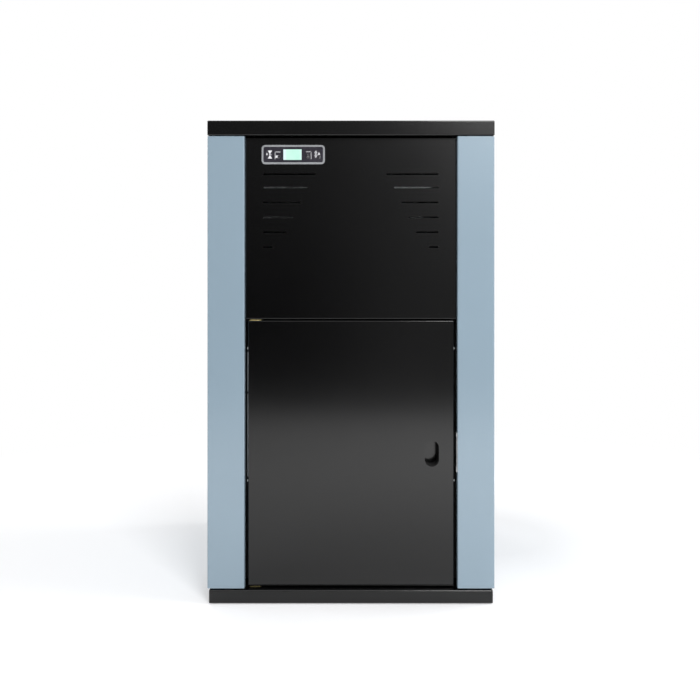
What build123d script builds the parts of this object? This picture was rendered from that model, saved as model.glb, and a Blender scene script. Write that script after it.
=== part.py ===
from build123d import *
from math import cos, radians, sin
import os

# Pellet boiler with a hopper under its top cover, a burner and water jacket behind an outer door,
# and its water, flue, air and mains connections at the rear.
# Millimetres. The origin is on the floor below the middle of the overall box, the front faces -Y.

# Casing
casing_width = 720.0
casing_depth = 720.0
total_height = 1210.0
rear_reach = 30.0
casing_sheet = 1.5
frame_sheet = 2.0
fold_radius = 3.0
fold_flange = 12.0

# Clearances
seat_gap = 0.3
pin_clearance = 0.05
press_clearance = 0.1

# Base plinth and feet
foot_lift = 2.5
plinth_height = 32.0
plinth_inset = 4.0
plinth_corner = 5.0
plinth_edge = 3.0
foot_inset = 75.0
foot_pad_radius = 18.0
foot_pad_height = 9.0
foot_stud_radius = 5.0
foot_stud_clearance = 0.3
foot_nut_height = 6.0
foot_nut_width = 16.0
casing_floor_gap = 3.5

# Pilasters and side panels
pilaster_width = 93.0
pilaster_depth = 40.0
pilaster_setback = 3.0
pilaster_return = 22.0
pilaster_rear_flange = 34.0

# Chassis
post_leg = 60.0
rail_height = 30.0
rail_thickness = 3.0
lower_rail_z = 480.0
upper_rail_z = 900.0
brace_height = 36.0
brace_above_slot = 8.0

# Front frame
jamb_overlap = 32.0
jamb_return = 40.0
rail_fold = 25.0
bottom_rail_height = 42.0
mid_rail_height = 38.0
top_rail_height = 40.0

# Outer door
door_recess = 18.0
door_thickness = 58.0
door_side_gap = 7.0
door_rear_gap = 6.0
door_bottom_gap = 2.5
door_height = 671.0
door_edge_radius = 2.0
door_panel_gap = 4.5
liner_border = 35.0
liner_pressing = 5.0
hinge_edge_distance = 14.0
hinge_pin_radius = 4.0
hinge_pin_length = 18.0
hinge_bush_radius = 7.0
hinge_plate_width = 31.0
hinge_plate_outboard = 12.0
hinge_plate_thickness = 2.2
hinge_tab_drop = 28.0
hinge_tab_thickness = 2.0
seal_width = 8.0
magnet_width = 10.0
magnet_height = 40.0
magnet_heights = (300.0, 410.0)
side_screw_heights = (302.5, 638.0)
side_screw_setback = 9.0
side_screw_head_radius = 3.6
side_screw_head_height = 2.8
side_screw_shank_radius = 2.0
side_screw_length = 8.0
trim_width = 14.0
trim_thickness = 2.4
trim_joint_gap = 6.0
trim_split_z = 525.0
trim_end_margin = 10.0

# Finger pull in the door
pull_width = 36.0
pull_height = 66.0
pull_depth = 50.0
pull_wall = 1.2
pull_flange = 6.0
pull_edge_distance = 55.3
pull_z = 371.7

# Catch plate on the right pilaster
catch_height = 99.0
catch_thickness = 1.6
catch_lip = 12.0
catch_lip_rise = 0.8
catch_lift = 6.0

# Upper front panel with its vent slots
slot_height = 4.0
slot_longest = 131.0
slot_step = 18.7
slot_shortest = 23.0
slot_side_distance = 45.7
slot_pitch = 37.6
slot_rows = 6
slot_top_drop = 131.5
slot_top_pitch = 33.8

# Control panel
display_side_distance = 120.9
display_drop = 82.3
bezel_width = 160.0
bezel_height = 48.7
bezel_radius = 9.5
bezel_rim = 4.8
bezel_proud = 2.0
bezel_neck = 0.9
bezel_neck_depth = 9.0
fascia_recess = 0.8
fascia_thickness = 3.2
window_width = 46.0
window_height = 26.5
window_shift = -2.0
key_width = 17.0
key_height = 23.0
key_radius = 3.0
key_pitch = 20.5
key_outer_margin = 14.5
key_proud = 0.4
key_thickness = 3.0
key_travel = 0.6
board_thickness = 1.6
board_standoff = 4.0
board_spacer_radius = 2.0
switch_radius = 2.5

# Top cover and hopper lid
top_cover_height = 37.0
cover_gap = 2.0
cover_corner = 3.0
cover_edge = 2.5
cover_hem = 20.0
lid_side_gap = 3.0
lid_hinge_gap = 10.0
lid_sheet = 2.0
lid_corner = 6.0
lid_notch_width = 110.0
lid_notch_depth = 20.0
lid_knuckle_radius = 4.4
lid_knuckle_drop = 5.5
lid_knuckle_length = 30.0
lid_knuckle_x = 170.0
lid_pin_radius = 2.0
cover_knuckle_length = 15.0

# Hopper
hopper_side_margin = 100.0
hopper_front_margin = 175.0
hopper_rear_margin = 55.0
hopper_straight = 205.0
hopper_flange = 10.0
gasket_height = 6.0
throat_width = 53.0
throat_length = 90.0
throat_height = 8.0
guard_slot_length = 90.0
guard_slot_width = 14.0
guard_slot_pitch_x = 110.0
guard_slot_pitch_y = 28.0
guard_columns = 4
guard_rows = 15
guard_thickness = 2.0

# Feed auger
auger_height = 80.0
auger_tube_radius = 32.0
auger_tube_wall = 2.5
auger_shaft_radius = 9.0
auger_flight_radius = 27.5
auger_flight_thickness = 2.5
flight_sink = 1.0
auger_pitch = 42.0
auger_front_margin = 35.0
auger_rear_margin = 22.0
auger_cap = 3.0
auger_boss_radius = 14.0
auger_boss_length = 12.0
auger_flange_size = 84.0
auger_flange_thickness = 3.0
chute_radius = 30.0
chute_wall = 2.5
chute_flange_radius = 44.0
gearbox_size = 80.0
gearbox_length = 45.0
gearbox_corner = 8.0
gearbox_socket = 30.0
feed_motor_radius = 32.0
feed_motor_length = 90.0
feed_motor_grooves = 5
groove_width = 4.5
groove_depth = 2.5

# Boiler body
skid_height = 35.0
skid_width = 50.0
skid_sheet = 4.0
body_width = 440.0
body_height = 620.0
body_setback = 185.0
rear_space = 235.0
body_shell = 5.0
body_corner = 8.0
gas_wall = 6.0
ash_half_width = 165.0
ash_floor = 10.0
ash_height = 65.0
chamber_half_width = 145.0
chamber_floor = 100.0
chamber_height = 370.0
chamber_rear_space = 100.0
exchanger_half_width = 176.0
exchanger_depth = 60.0
upper_header_height = 60.0
lower_header_floor = 20.0
lower_header_height = 60.0
tube_radius = 24.0
tube_positions = (-150.0, -75.0, 75.0, 150.0)
flue_port_x = 130.0
flue_port_width = 70.0
flue_port_height = 50.0
air_port_radius = 26.0
air_port_height = 16.0
insulation_thickness = 25.0

# Burn pot and igniter
pot_hole = 84.0
pot_size = 78.0
pot_wall = 6.0
pot_drop = 16.0
pot_rise = 46.0
pot_flange = 110.0
pot_flange_thickness = 6.0
pot_hole_radius = 3.0
pot_hole_pitch = 15.0
pot_holes_across = 4
igniter_radius = 5.0
igniter_bore = 6.5
igniter_spider = 3.0
igniter_tail = 24.0

# Fire door
fire_door_overlap = 27.0
fire_door_plate = 12.0
fire_door_rim = 9.0
fire_door_rim_width = 8.0
fire_door_corner = 10.0
fire_door_edge = 3.0
rope_width = 8.0
rope_stand = 3.0
fire_hinge_offset = 20.0
fire_hinge_radius = 8.0
fire_hinge_pin_radius = 4.0
fire_knuckle_length = 30.0
fire_lug_length = 15.0
fire_hinge_spread = 240.0
latch_inset = 30.0
latch_reach = 45.0
latch_tongue_height = 14.0
latch_thickness = 8.0
latch_boss_radius = 14.0
latch_spindle_radius = 5.0
latch_grip_length = 95.0
latch_grip_radius = 7.0
keeper_width = 16.0
keeper_lip = 6.0
keeper_lip_rise = 16.0
keeper_post_height = 12.0

# Ash drawer
drawer_side_gap = 1.5
drawer_height = 57.0
drawer_sheet = 1.5
drawer_front_thickness = 10.0
drawer_front_overlap = 7.0
drawer_handle_width = 110.0
drawer_handle_reach = 24.0
drawer_handle_radius = 4.0

# Smoke box, fan and flue
smoke_box_depth = 150.0
smoke_box_height = 215.0
smoke_box_floor = 15.5
smoke_box_half_width = 45.0
duct_sheet = 2.0
fan_width = 60.0
fan_centre_depth = 94.0
fan_centre_height = 135.0
volute_start_radius = 74.0
volute_end_radius = 98.0
volute_tongue_angle = -35.0
volute_end_angle = 270.0
volute_steps = 9
fan_outlet_depth = 180.0
fan_inlet_radius = 42.0
impeller_radius = 64.0
impeller_inner_radius = 26.0
impeller_blade_width = 32.0
impeller_blades = 10
impeller_plate = 2.0
impeller_plate_gap = 4.0
impeller_hub_radius = 10.0
shaft_hole_radius = 11.0
impeller_blade_thickness = 2.0
impeller_lean = 28.0
fan_shaft_radius = 4.0
fan_motor_radius = 38.0
fan_motor_flange_radius = 48.0
fan_motor_length = 72.0
fan_motor_flange = 3.0
fan_shaft_socket = 30.0
flue_radius = 40.0
flue_wall = 1.5
flue_flange = 90.0
flue_flange_thickness = 2.0

# Rear connections
air_pipe_radius = 25.0
air_pipe_wall = 1.5
pipe_radius = 16.6
pipe_bore = 13.5
pipe_nut_width = 46.0
pipe_nut_length = 14.0
flow_x = -150.0
flow_height = 550.0
return_x = -195.0
return_height = 80.0
pump_start = 40.0
pump_length = 140.0
pump_body_radius = 38.0
pump_body_length = 46.0
pump_motor_radius = 42.0
pump_motor_length = 82.0
pump_box_size = 50.0
pump_box_depth = 28.0
pump_box_inset = 16.0
tee_radius = 21.0
tee_length = 36.0
safety_valve_distance = 90.0
safety_valve_radius = 15.0
safety_nut_radius = 19.5
safety_valve_height = 62.0
safety_cap_radius = 18.0
safety_cap_height = 24.0
vessel_radius = 138.0
vessel_clearance = 16.5
vessel_edge_share = 0.42
vessel_boss_radius = 18.0
vessel_boss_length = 8.0
vessel_centre_y = 140.0

# Rear cover
cover_hole_clearance = 4.0
rear_screw_radius = 2.4
rear_screw_clearance = 0.2
rear_screw_head_radius = 4.6
rear_screw_head_height = 2.4
rear_screw_length = 8.0
rear_screw_rows = 5
rear_screw_margin = 45.0
rear_slot_length = 70.0
rear_slot_width = 5.0
rear_slot_pitch_x = 95.0
rear_slot_pitch_z = 16.0
rear_slot_columns = 4
rear_slot_rows = 8
rear_slot_drop = 241.0
rear_seam_drop = 441.0

# Mains inlet with its switch
inlet_post_gap = 46.5
inlet_z = 345.0
inlet_plate_width = 34.0
inlet_plate_height = 66.0
inlet_plate_thickness = 2.5
inlet_body_width = 28.0
inlet_body_height = 60.0
inlet_body_depth = 30.0
socket_width = 24.6
socket_height = 16.8
socket_depth = 17.0
socket_drop = 14.0
socket_corner = 2.0
contact_pitch = 7.0
contact_length = 12.0
contact_rise = 2.0
contact_width = 2.0
rocker_rise = 14.0
rocker_width = 12.0
rocker_height = 20.0
rocker_well_depth = 16.0
rocker_gap = 0.5
rocker_tilt = 8.0
rocker_proud = 2.5
rocker_drop = 5.0
rocker_dish = 2.0
rocker_keel = 3.5
rocker_pin_radius = 1.5

# Control unit
unit_depth = 60.0
unit_length = 200.0
unit_height = 160.0
unit_corner = 6.0
unit_front_y = -100.0
gland_radius = 9.0
gland_length = 14.0
gland_pitch = 34.0
gland_count = 5

# Levels and planes worked out from the sizes above
half_width = casing_width / 2
front_y = -(casing_depth + rear_reach) / 2
rear_y = front_y + casing_depth
reach_y = rear_y + rear_reach
casing_centre_y = (front_y + rear_y) / 2
side_inner_x = half_width - casing_sheet
plinth_top = foot_lift + plinth_height
casing_bottom = plinth_top + casing_floor_gap
cover_bottom = total_height - top_cover_height
casing_top = cover_bottom - cover_gap
pilaster_front_y = front_y + pilaster_setback
pilaster_back_y = pilaster_front_y + pilaster_depth
pilaster_inner_x = half_width - pilaster_width
jamb_half_opening = pilaster_inner_x - jamb_overlap
panel_half_width = pilaster_inner_x - seat_gap
chassis_front_y = pilaster_back_y + casing_sheet
chassis_rear_y = rear_y - 2 * casing_sheet
door_front_y = pilaster_front_y + door_recess
door_back_y = door_front_y + door_thickness
jamb_y = door_back_y + door_rear_gap
door_half_width = pilaster_inner_x - door_side_gap
door_bottom = plinth_top + door_bottom_gap
door_top = door_bottom + door_height
panel_bottom = door_top + door_panel_gap
pull_x = door_half_width - pull_edge_distance
hinge_x = -door_half_width + hinge_edge_distance
hinge_y = door_front_y + hinge_edge_distance
body_front_y = front_y + body_setback
body_back_y = rear_y - rear_space
body_depth = body_back_y - body_front_y
body_bottom = plinth_top + skid_height
body_top = body_bottom + body_height
body_half_width = body_width / 2
ash_floor_z = body_bottom + ash_floor
ash_ceiling_z = ash_floor_z + ash_height
chamber_floor_z = body_bottom + chamber_floor
chamber_ceiling_z = chamber_floor_z + chamber_height
chamber_back_y = body_back_y - chamber_rear_space
exchanger_back_y = body_back_y - body_shell - gas_wall
exchanger_front_y = exchanger_back_y - exchanger_depth
tube_y = (exchanger_front_y + exchanger_back_y) / 2
upper_header_z = chamber_ceiling_z - upper_header_height
lower_header_z = body_bottom + lower_header_floor
lower_header_top = lower_header_z + lower_header_height
pot_y = (body_front_y + chamber_back_y) / 2
air_port_z = chamber_floor_z + air_port_height
auger_z = body_top + auger_height
hopper_front_y = front_y + hopper_front_margin
hopper_back_y = rear_y - hopper_rear_margin
hopper_length = hopper_back_y - hopper_front_y
hopper_centre_y = (hopper_front_y + hopper_back_y) / 2
hopper_half_width = half_width - hopper_side_margin
hopper_width = 2 * hopper_half_width
hopper_rim_z = cover_bottom
hopper_fold_z = hopper_rim_z - hopper_straight
throat_top_z = auger_z + auger_tube_radius + throat_height
opening_half_width = hopper_half_width + hopper_flange + cover_gap
opening_front_y = hopper_front_y - hopper_flange - cover_gap
opening_back_y = hopper_back_y + hopper_flange + cover_gap + lid_hinge_gap - lid_side_gap
lid_half_width = opening_half_width - lid_side_gap
lid_front_y = opening_front_y + lid_side_gap
lid_back_y = opening_back_y - lid_hinge_gap
lid_bottom = hopper_rim_z + frame_sheet + gasket_height + seat_gap
lid_axis_y = lid_back_y + lid_hinge_gap / 2
lid_axis_z = total_height - lid_knuckle_drop
slot_outer_x = panel_half_width - slot_side_distance
slot_top_z = total_height - slot_top_drop
display_x = -panel_half_width + display_side_distance
display_z = total_height - display_drop


def level(z):
    """Horizontal plane at height z."""
    return Plane.XY.offset(z)


def facing_front(y):
    """Upright plane at depth y; its sketches are seen from the front and extrude forwards."""
    return Plane.XZ.offset(-y)


def facing_right(x):
    """Upright plane at x; its sketches have Y across and Z up and extrude to the right."""
    return Plane.YZ.offset(x)


def block(x_limits, y_limits, z_limits, mode=Mode.ADD):
    """Rectangular solid between its limits on each axis, in the part being built."""
    limits = (x_limits, y_limits, z_limits)
    with Locations(tuple(sum(pair) / 2 for pair in limits)):
        Box(*(high - low for low, high in limits), mode=mode)


def rectangle_between(x_limits, y_limits, mode=Mode.ADD):
    """Rectangle between its limits, in the sketch being drawn."""
    with Locations((sum(x_limits) / 2, sum(y_limits) / 2)):
        Rectangle(x_limits[1] - x_limits[0], y_limits[1] - y_limits[0], mode=mode)


def folded_profile(points, thickness, radius):
    """End view of a folded sheet whose outer face follows the points, with the sheet on their left."""
    with BuildLine() as fold:
        FilletPolyline(*points, radius=radius)
        offset(amount=thickness, side=Side.LEFT)
    make_face(fold.edges())


def cylinder_between(plane, centre, radius, length, mode=Mode.ADD):
    """Round bar of a given length standing on a plane, at a place on that plane."""
    with BuildSketch(plane) as disc:
        with Locations(centre):
            Circle(radius)
    extrude(disc.sketch, amount=length, mode=mode)


def finish(piece, name):
    """Label a finished piece and write it."""
    piece.part.label = name
    export_step(piece.part, f"parts/{name}.step")


def cut_at_seams(piece, regions, name):
    """Cut a welded piece apart at its seams, region by region, and write its parts as one node."""
    remaining = piece.part
    parts = []
    for x_limits, y_limits, z_limits in regions:
        with BuildPart() as region:
            block(x_limits, y_limits, z_limits)
        parts += (remaining & region.part).solids()
        remaining = remaining - region.part
    parts += remaining.solids()
    export_step(Compound(label=name, children=parts), f"parts/{name}.step")


os.makedirs("parts", exist_ok=True)

foot_positions = [
    (side * (half_width - foot_inset), y)
    for side in (-1, 1)
    for y in (front_y + foot_inset, rear_y - foot_inset)
]

# Base plinth: an upside-down pan of folded sheet that the whole boiler stands on
with BuildPart() as base_plinth:
    with BuildSketch(level(foot_lift)):
        with Locations((0, casing_centre_y - plinth_inset / 2)):
            RectangleRounded(casing_width - 2 * plinth_inset, casing_depth - plinth_inset, plinth_corner)
    extrude(amount=plinth_height)
    fillet(base_plinth.faces().sort_by(Axis.Z)[-1].edges(), plinth_edge)
    offset(amount=-frame_sheet, openings=base_plinth.faces().sort_by(Axis.Z)[0])
    with BuildSketch(level(plinth_top)):
        with Locations(*foot_positions):
            Circle(foot_stud_radius + foot_stud_clearance)
    extrude(amount=-2 * frame_sheet, mode=Mode.SUBTRACT)
finish(base_plinth, "base_plinth")

# Levelling feet: pads on threaded studs, each with its lock nut under the plinth's top
with BuildPart() as levelling_feet:
    with BuildSketch():
        with Locations(*foot_positions):
            Circle(foot_pad_radius)
    extrude(amount=foot_pad_height)
    chamfer(levelling_feet.edges().group_by(Axis.Z)[-1], foot_pad_height / 3)
    with BuildSketch(level(foot_pad_height)):
        with Locations(*foot_positions):
            Circle(foot_stud_radius)
    extrude(amount=plinth_top + foot_nut_height - foot_pad_height)
    with BuildSketch(level(plinth_top - frame_sheet - foot_nut_height)):
        with Locations(*foot_positions):
            RegularPolygon(foot_nut_width / 2, 6)
    extrude(amount=foot_nut_height)
finish(levelling_feet, "levelling_feet")

rear_screw_step = (casing_top - casing_bottom - 2 * rear_screw_margin) / (rear_screw_rows - 1)
rear_screw_positions = [
    (side * (side_inner_x - post_leg / 2), casing_bottom + rear_screw_margin + row * rear_screw_step)
    for side in (-1, 1)
    for row in range(rear_screw_rows)
]

# Chassis: four angle posts, side rails that carry the casing's fittings, and the brace behind the panel
with BuildPart() as chassis_frame:
    post_inner_x = side_inner_x - post_leg
    for post_points in (
        [
            (post_inner_x, chassis_front_y),
            (side_inner_x, chassis_front_y),
            (side_inner_x, chassis_front_y + post_leg),
        ],
        [
            (side_inner_x, chassis_rear_y - post_leg),
            (side_inner_x, chassis_rear_y),
            (post_inner_x, chassis_rear_y),
        ],
    ):
        with BuildSketch(level(plinth_top)) as post:
            folded_profile(post_points, frame_sheet, fold_radius)
        extrude(post.sketch, amount=casing_top - plinth_top)
    for rail_z in (lower_rail_z, upper_rail_z):
        block(
            (side_inner_x - frame_sheet - rail_thickness, side_inner_x - frame_sheet),
            (jamb_y + frame_sheet, chassis_rear_y - frame_sheet),
            (rail_z - rail_height / 2, rail_z + rail_height / 2),
        )
    mirror(about=Plane.YZ)
    with BuildSketch(facing_front(chassis_rear_y + frame_sheet)):
        with Locations(*rear_screw_positions):
            Circle(rear_screw_radius + rear_screw_clearance)
    extrude(amount=3 * frame_sheet, mode=Mode.SUBTRACT)
    brace_z = slot_top_z - slot_top_pitch + brace_above_slot
    with BuildSketch(facing_right(-jamb_half_opening)):
        folded_profile(
            [
                (jamb_y + rail_fold, brace_z + brace_height / 2),
                (jamb_y, brace_z + brace_height / 2),
                (jamb_y, brace_z - brace_height / 2),
                (jamb_y + rail_fold, brace_z - brace_height / 2),
            ],
            frame_sheet,
            fold_radius,
        )
    extrude(amount=2 * jamb_half_opening)
finish(chassis_frame, "chassis_frame")

# Front frame: two jambs with inward returns, and the rails between them
front_rails = (
    (plinth_top, plinth_top + bottom_rail_height),
    (door_top - mid_rail_height / 2, door_top + mid_rail_height / 2),
    (casing_top - top_rail_height, casing_top),
)
with BuildPart() as front_frame:
    with BuildSketch(level(plinth_top)):
        folded_profile(
            [
                (jamb_half_opening, jamb_y + jamb_return),
                (jamb_half_opening, jamb_y),
                (side_inner_x - frame_sheet, jamb_y),
            ],
            frame_sheet,
            fold_radius,
        )
    extrude(amount=casing_top - plinth_top)
    mirror(about=Plane.YZ)
    for low, high in front_rails:
        with BuildSketch(facing_right(-jamb_half_opening)):
            folded_profile(
                [(jamb_y + rail_fold, high), (jamb_y, high), (jamb_y, low), (jamb_y + rail_fold, low)],
                frame_sheet,
                fold_radius,
            )
        extrude(amount=2 * jamb_half_opening)
finish(front_frame, "front_frame")

# Front pilasters: folded channels with a rounded inner edge, the right one made and the left one mirrored
with BuildPart() as right_pilaster:
    with BuildSketch(level(casing_bottom)):
        folded_profile(
            [
                (pilaster_inner_x, pilaster_front_y + pilaster_return),
                (pilaster_inner_x, pilaster_front_y),
                (half_width, pilaster_front_y),
                (half_width, pilaster_back_y),
                (side_inner_x - pilaster_rear_flange, pilaster_back_y),
            ],
            casing_sheet,
            fold_radius,
        )
    extrude(amount=casing_top - casing_bottom)
finish(right_pilaster, "right_pilaster")

with BuildPart() as left_pilaster:
    mirror(right_pilaster.part, about=Plane.YZ)
finish(left_pilaster, "left_pilaster")

# Side panels: one folded sheet a side, with flanges in front of the front post and behind the rear post
with BuildPart() as right_side_panel:
    with BuildSketch(level(casing_bottom)):
        folded_profile(
            [
                (side_inner_x - fold_flange, pilaster_back_y),
                (half_width, pilaster_back_y),
                (half_width, rear_y - casing_sheet),
                (side_inner_x - fold_flange, rear_y - casing_sheet),
            ],
            casing_sheet,
            fold_radius,
        )
    extrude(amount=casing_top - casing_bottom)
finish(right_side_panel, "right_side_panel")

with BuildPart() as left_side_panel:
    mirror(right_side_panel.part, about=Plane.YZ)
finish(left_side_panel, "left_side_panel")

# Upper front panel: a deep tray with vent slots that shorten row by row, and the control panel's cut-out
slot_levels = [slot_top_z] + [
    slot_top_z - slot_top_pitch - slot_pitch * row for row in range(slot_rows - 1)
]
slot_lengths = [slot_longest - slot_step * row for row in range(slot_rows - 1)] + [slot_shortest]
with BuildPart() as front_upper_panel:
    with BuildSketch(facing_front(jamb_y)):
        rectangle_between((-panel_half_width, panel_half_width), (panel_bottom, casing_top))
    extrude(amount=jamb_y - door_front_y)
    fillet(front_upper_panel.faces().sort_by(Axis.Y)[0].edges(), door_edge_radius)
    offset(amount=-casing_sheet, openings=front_upper_panel.faces().sort_by(Axis.Y)[-1])
    with BuildSketch(facing_front(door_front_y + 2 * casing_sheet)):
        for slot_z, slot_length in zip(slot_levels, slot_lengths):
            slot_x = slot_outer_x - slot_length / 2
            with Locations((-slot_x, slot_z), (slot_x, slot_z)):
                SlotOverall(slot_length, slot_height)
        with Locations((display_x, display_z)):
            RectangleRounded(
                bezel_width - 2 * bezel_rim + 2 * bezel_neck + 2 * press_clearance,
                bezel_height - 2 * bezel_rim + 2 * bezel_neck + 2 * press_clearance,
                bezel_radius - bezel_rim + bezel_neck + press_clearance,
            )
    extrude(amount=3 * casing_sheet, mode=Mode.SUBTRACT)
finish(front_upper_panel, "front_upper_panel")

# Top deck: the plate over the chassis that the hopper hangs from and the top cover rests on
deck_half_width = side_inner_x - fold_flange
with BuildPart() as top_deck:
    with BuildSketch(level(casing_top)):
        rectangle_between((-deck_half_width, deck_half_width), (chassis_front_y, chassis_rear_y))
        rectangle_between(
            (-hopper_half_width - 2 * casing_sheet, hopper_half_width + 2 * casing_sheet),
            (hopper_front_y - 2 * casing_sheet, hopper_back_y + 2 * casing_sheet),
            mode=Mode.SUBTRACT,
        )
    extrude(amount=cover_gap)
finish(top_deck, "top_deck")


def lid_hinge_barrels(x_start, length, toward_y):
    """Hinge barrels at both hinges with a web that reaches to toward_y."""
    for side in (-1, 1):
        low = min(side * x_start, side * (x_start + length))
        with BuildSketch(facing_right(low)) as barrel:
            with Locations((lid_axis_y, lid_axis_z)):
                Circle(lid_knuckle_radius)
            rectangle_between(
                sorted((lid_axis_y, toward_y)),
                (lid_axis_z - lid_knuckle_radius, lid_axis_z),
            )
        extrude(barrel.sketch, amount=length)


knuckle_inner_x = lid_knuckle_x - lid_knuckle_length / 2
knuckle_outer_x = lid_knuckle_x + lid_knuckle_length / 2

# Top cover: a hollow slab with hems below, a hatch opening and its half of the lid hinges
with BuildPart() as top_cover:
    with BuildSketch(level(cover_bottom)):
        with Locations((0, casing_centre_y)):
            RectangleRounded(casing_width, casing_depth, cover_corner)
    extrude(amount=top_cover_height)
    fillet(top_cover.faces().sort_by(Axis.Z)[0].edges(), cover_edge)
    fillet(top_cover.faces().sort_by(Axis.Z)[-1].edges(), cover_edge)
    with BuildSketch(level(cover_bottom + casing_sheet)):
        rectangle_between(
            (-half_width + casing_sheet, half_width - casing_sheet),
            (front_y + casing_sheet, rear_y - casing_sheet),
        )
        rectangle_between(
            (-opening_half_width - casing_sheet, opening_half_width + casing_sheet),
            (opening_front_y - casing_sheet, opening_back_y + casing_sheet),
            mode=Mode.SUBTRACT,
        )
    extrude(amount=top_cover_height - 2 * casing_sheet, mode=Mode.SUBTRACT)
    with BuildSketch(level(cover_bottom)):
        rectangle_between(
            (-half_width + cover_hem, half_width - cover_hem),
            (front_y + cover_hem, opening_front_y - cover_hem),
        )
        for side in (-1, 1):
            rectangle_between(
                sorted((side * (opening_half_width + cover_hem), side * (half_width - cover_hem))),
                (front_y + cover_hem, rear_y - cover_hem),
            )
    extrude(amount=casing_sheet, mode=Mode.SUBTRACT)
    with BuildSketch(level(cover_bottom)):
        rectangle_between((-opening_half_width, opening_half_width), (opening_front_y, opening_back_y))
    extrude(amount=top_cover_height, mode=Mode.SUBTRACT)
    lid_hinge_barrels(knuckle_outer_x + seat_gap, cover_knuckle_length, opening_back_y)
    lid_hinge_barrels(
        knuckle_inner_x - seat_gap - cover_knuckle_length, cover_knuckle_length, opening_back_y
    )
    for side in (-1, 1):
        with Locations(Location((side * lid_knuckle_x, lid_axis_y, lid_axis_z), (0, 90, 0))):
            Cylinder(
                lid_pin_radius,
                lid_knuckle_length + 2 * cover_knuckle_length + 2 * seat_gap,
                mode=Mode.SUBTRACT,
            )
finish(top_cover, "top_cover")

# Hopper lid: a tray with a finger notch at its front and its half of the hinges
with BuildPart() as hopper_lid:
    with BuildSketch(level(lid_bottom)):
        with Locations((0, (lid_front_y + lid_back_y) / 2)):
            RectangleRounded(2 * lid_half_width, lid_back_y - lid_front_y, lid_corner)
    extrude(amount=total_height - lid_bottom)
    fillet(hopper_lid.faces().sort_by(Axis.Z)[-1].edges(), cover_edge)
    offset(amount=-lid_sheet, openings=hopper_lid.faces().sort_by(Axis.Z)[0])
    with BuildSketch(level(total_height - lid_notch_depth)):
        with Locations((0, lid_front_y)):
            RectangleRounded(lid_notch_width, 2 * lid_notch_depth, lid_notch_depth / 2)
    extrude(amount=lid_notch_depth, mode=Mode.SUBTRACT)
    lid_hinge_barrels(knuckle_inner_x, lid_knuckle_length, lid_back_y)
    for side in (-1, 1):
        with Locations(Location((side * lid_knuckle_x, lid_axis_y, lid_axis_z), (0, 90, 0))):
            Cylinder(lid_pin_radius + pin_clearance, lid_knuckle_length, mode=Mode.SUBTRACT)
finish(hopper_lid, "hopper_lid")

# Lid hinge pins, fast in the cover's barrels
with BuildPart() as lid_hinge_pins:
    for side in (-1, 1):
        with Locations(Location((side * lid_knuckle_x, lid_axis_y, lid_axis_z), (0, 90, 0))):
            Cylinder(lid_pin_radius, lid_knuckle_length + 2 * cover_knuckle_length + 2 * seat_gap)
finish(lid_hinge_pins, "lid_hinge_pins")


def hopper_space(grow, mode):
    """The hopper's straight walls and the funnel below them, grown outwards by a wall thickness."""
    block(
        (-hopper_half_width - grow, hopper_half_width + grow),
        (hopper_front_y - grow, hopper_back_y + grow),
        (hopper_fold_z, hopper_rim_z + frame_sheet),
        mode=mode,
    )
    funnel_centre = (0, hopper_centre_y, (throat_top_z + hopper_fold_z) / 2)
    with Locations(Location(funnel_centre, (-90, 0, 0))):
        Wedge(
            hopper_width + 2 * grow,
            hopper_fold_z - throat_top_z,
            hopper_length + 2 * grow,
            (hopper_width - throat_width) / 2,
            (hopper_length - throat_length) / 2,
            (hopper_width + throat_width) / 2 + 2 * grow,
            (hopper_length + throat_length) / 2 + 2 * grow,
            mode=mode,
        )


# Hopper: a folded-sheet box with a funnel below and a flange that hangs on the deck
with BuildPart() as hopper:
    hopper_space(casing_sheet, Mode.ADD)
    block(
        (-hopper_half_width - hopper_flange, hopper_half_width + hopper_flange),
        (hopper_front_y - hopper_flange, hopper_back_y + hopper_flange),
        (hopper_rim_z, hopper_rim_z + frame_sheet),
    )
    hopper_space(0.0, Mode.SUBTRACT)
finish(hopper, "hopper")

# Hopper guard: a slotted plate that drops on the fold above the funnel and keeps hands off the auger
with BuildPart() as hopper_guard:
    with BuildSketch(level(hopper_fold_z)):
        with Locations((0, hopper_centre_y)):
            Rectangle(hopper_width - 2 * press_clearance, hopper_length - 2 * press_clearance)
            with GridLocations(guard_slot_pitch_x, guard_slot_pitch_y, guard_columns, guard_rows):
                Rectangle(guard_slot_length, guard_slot_width, mode=Mode.SUBTRACT)
    extrude(amount=guard_thickness)
finish(hopper_guard, "hopper_guard")

# Hopper gasket on the hopper's flange, under the lid's edge
with BuildPart() as hopper_gasket:
    with BuildSketch(level(hopper_rim_z + frame_sheet)):
        with Locations((0, hopper_centre_y)):
            Rectangle(
                hopper_width + 2 * hopper_flange - lid_sheet,
                hopper_length + 2 * hopper_flange - lid_sheet,
            )
            Rectangle(hopper_width, hopper_length, mode=Mode.SUBTRACT)
    extrude(amount=gasket_height)
finish(hopper_gasket, "hopper_gasket")

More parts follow.
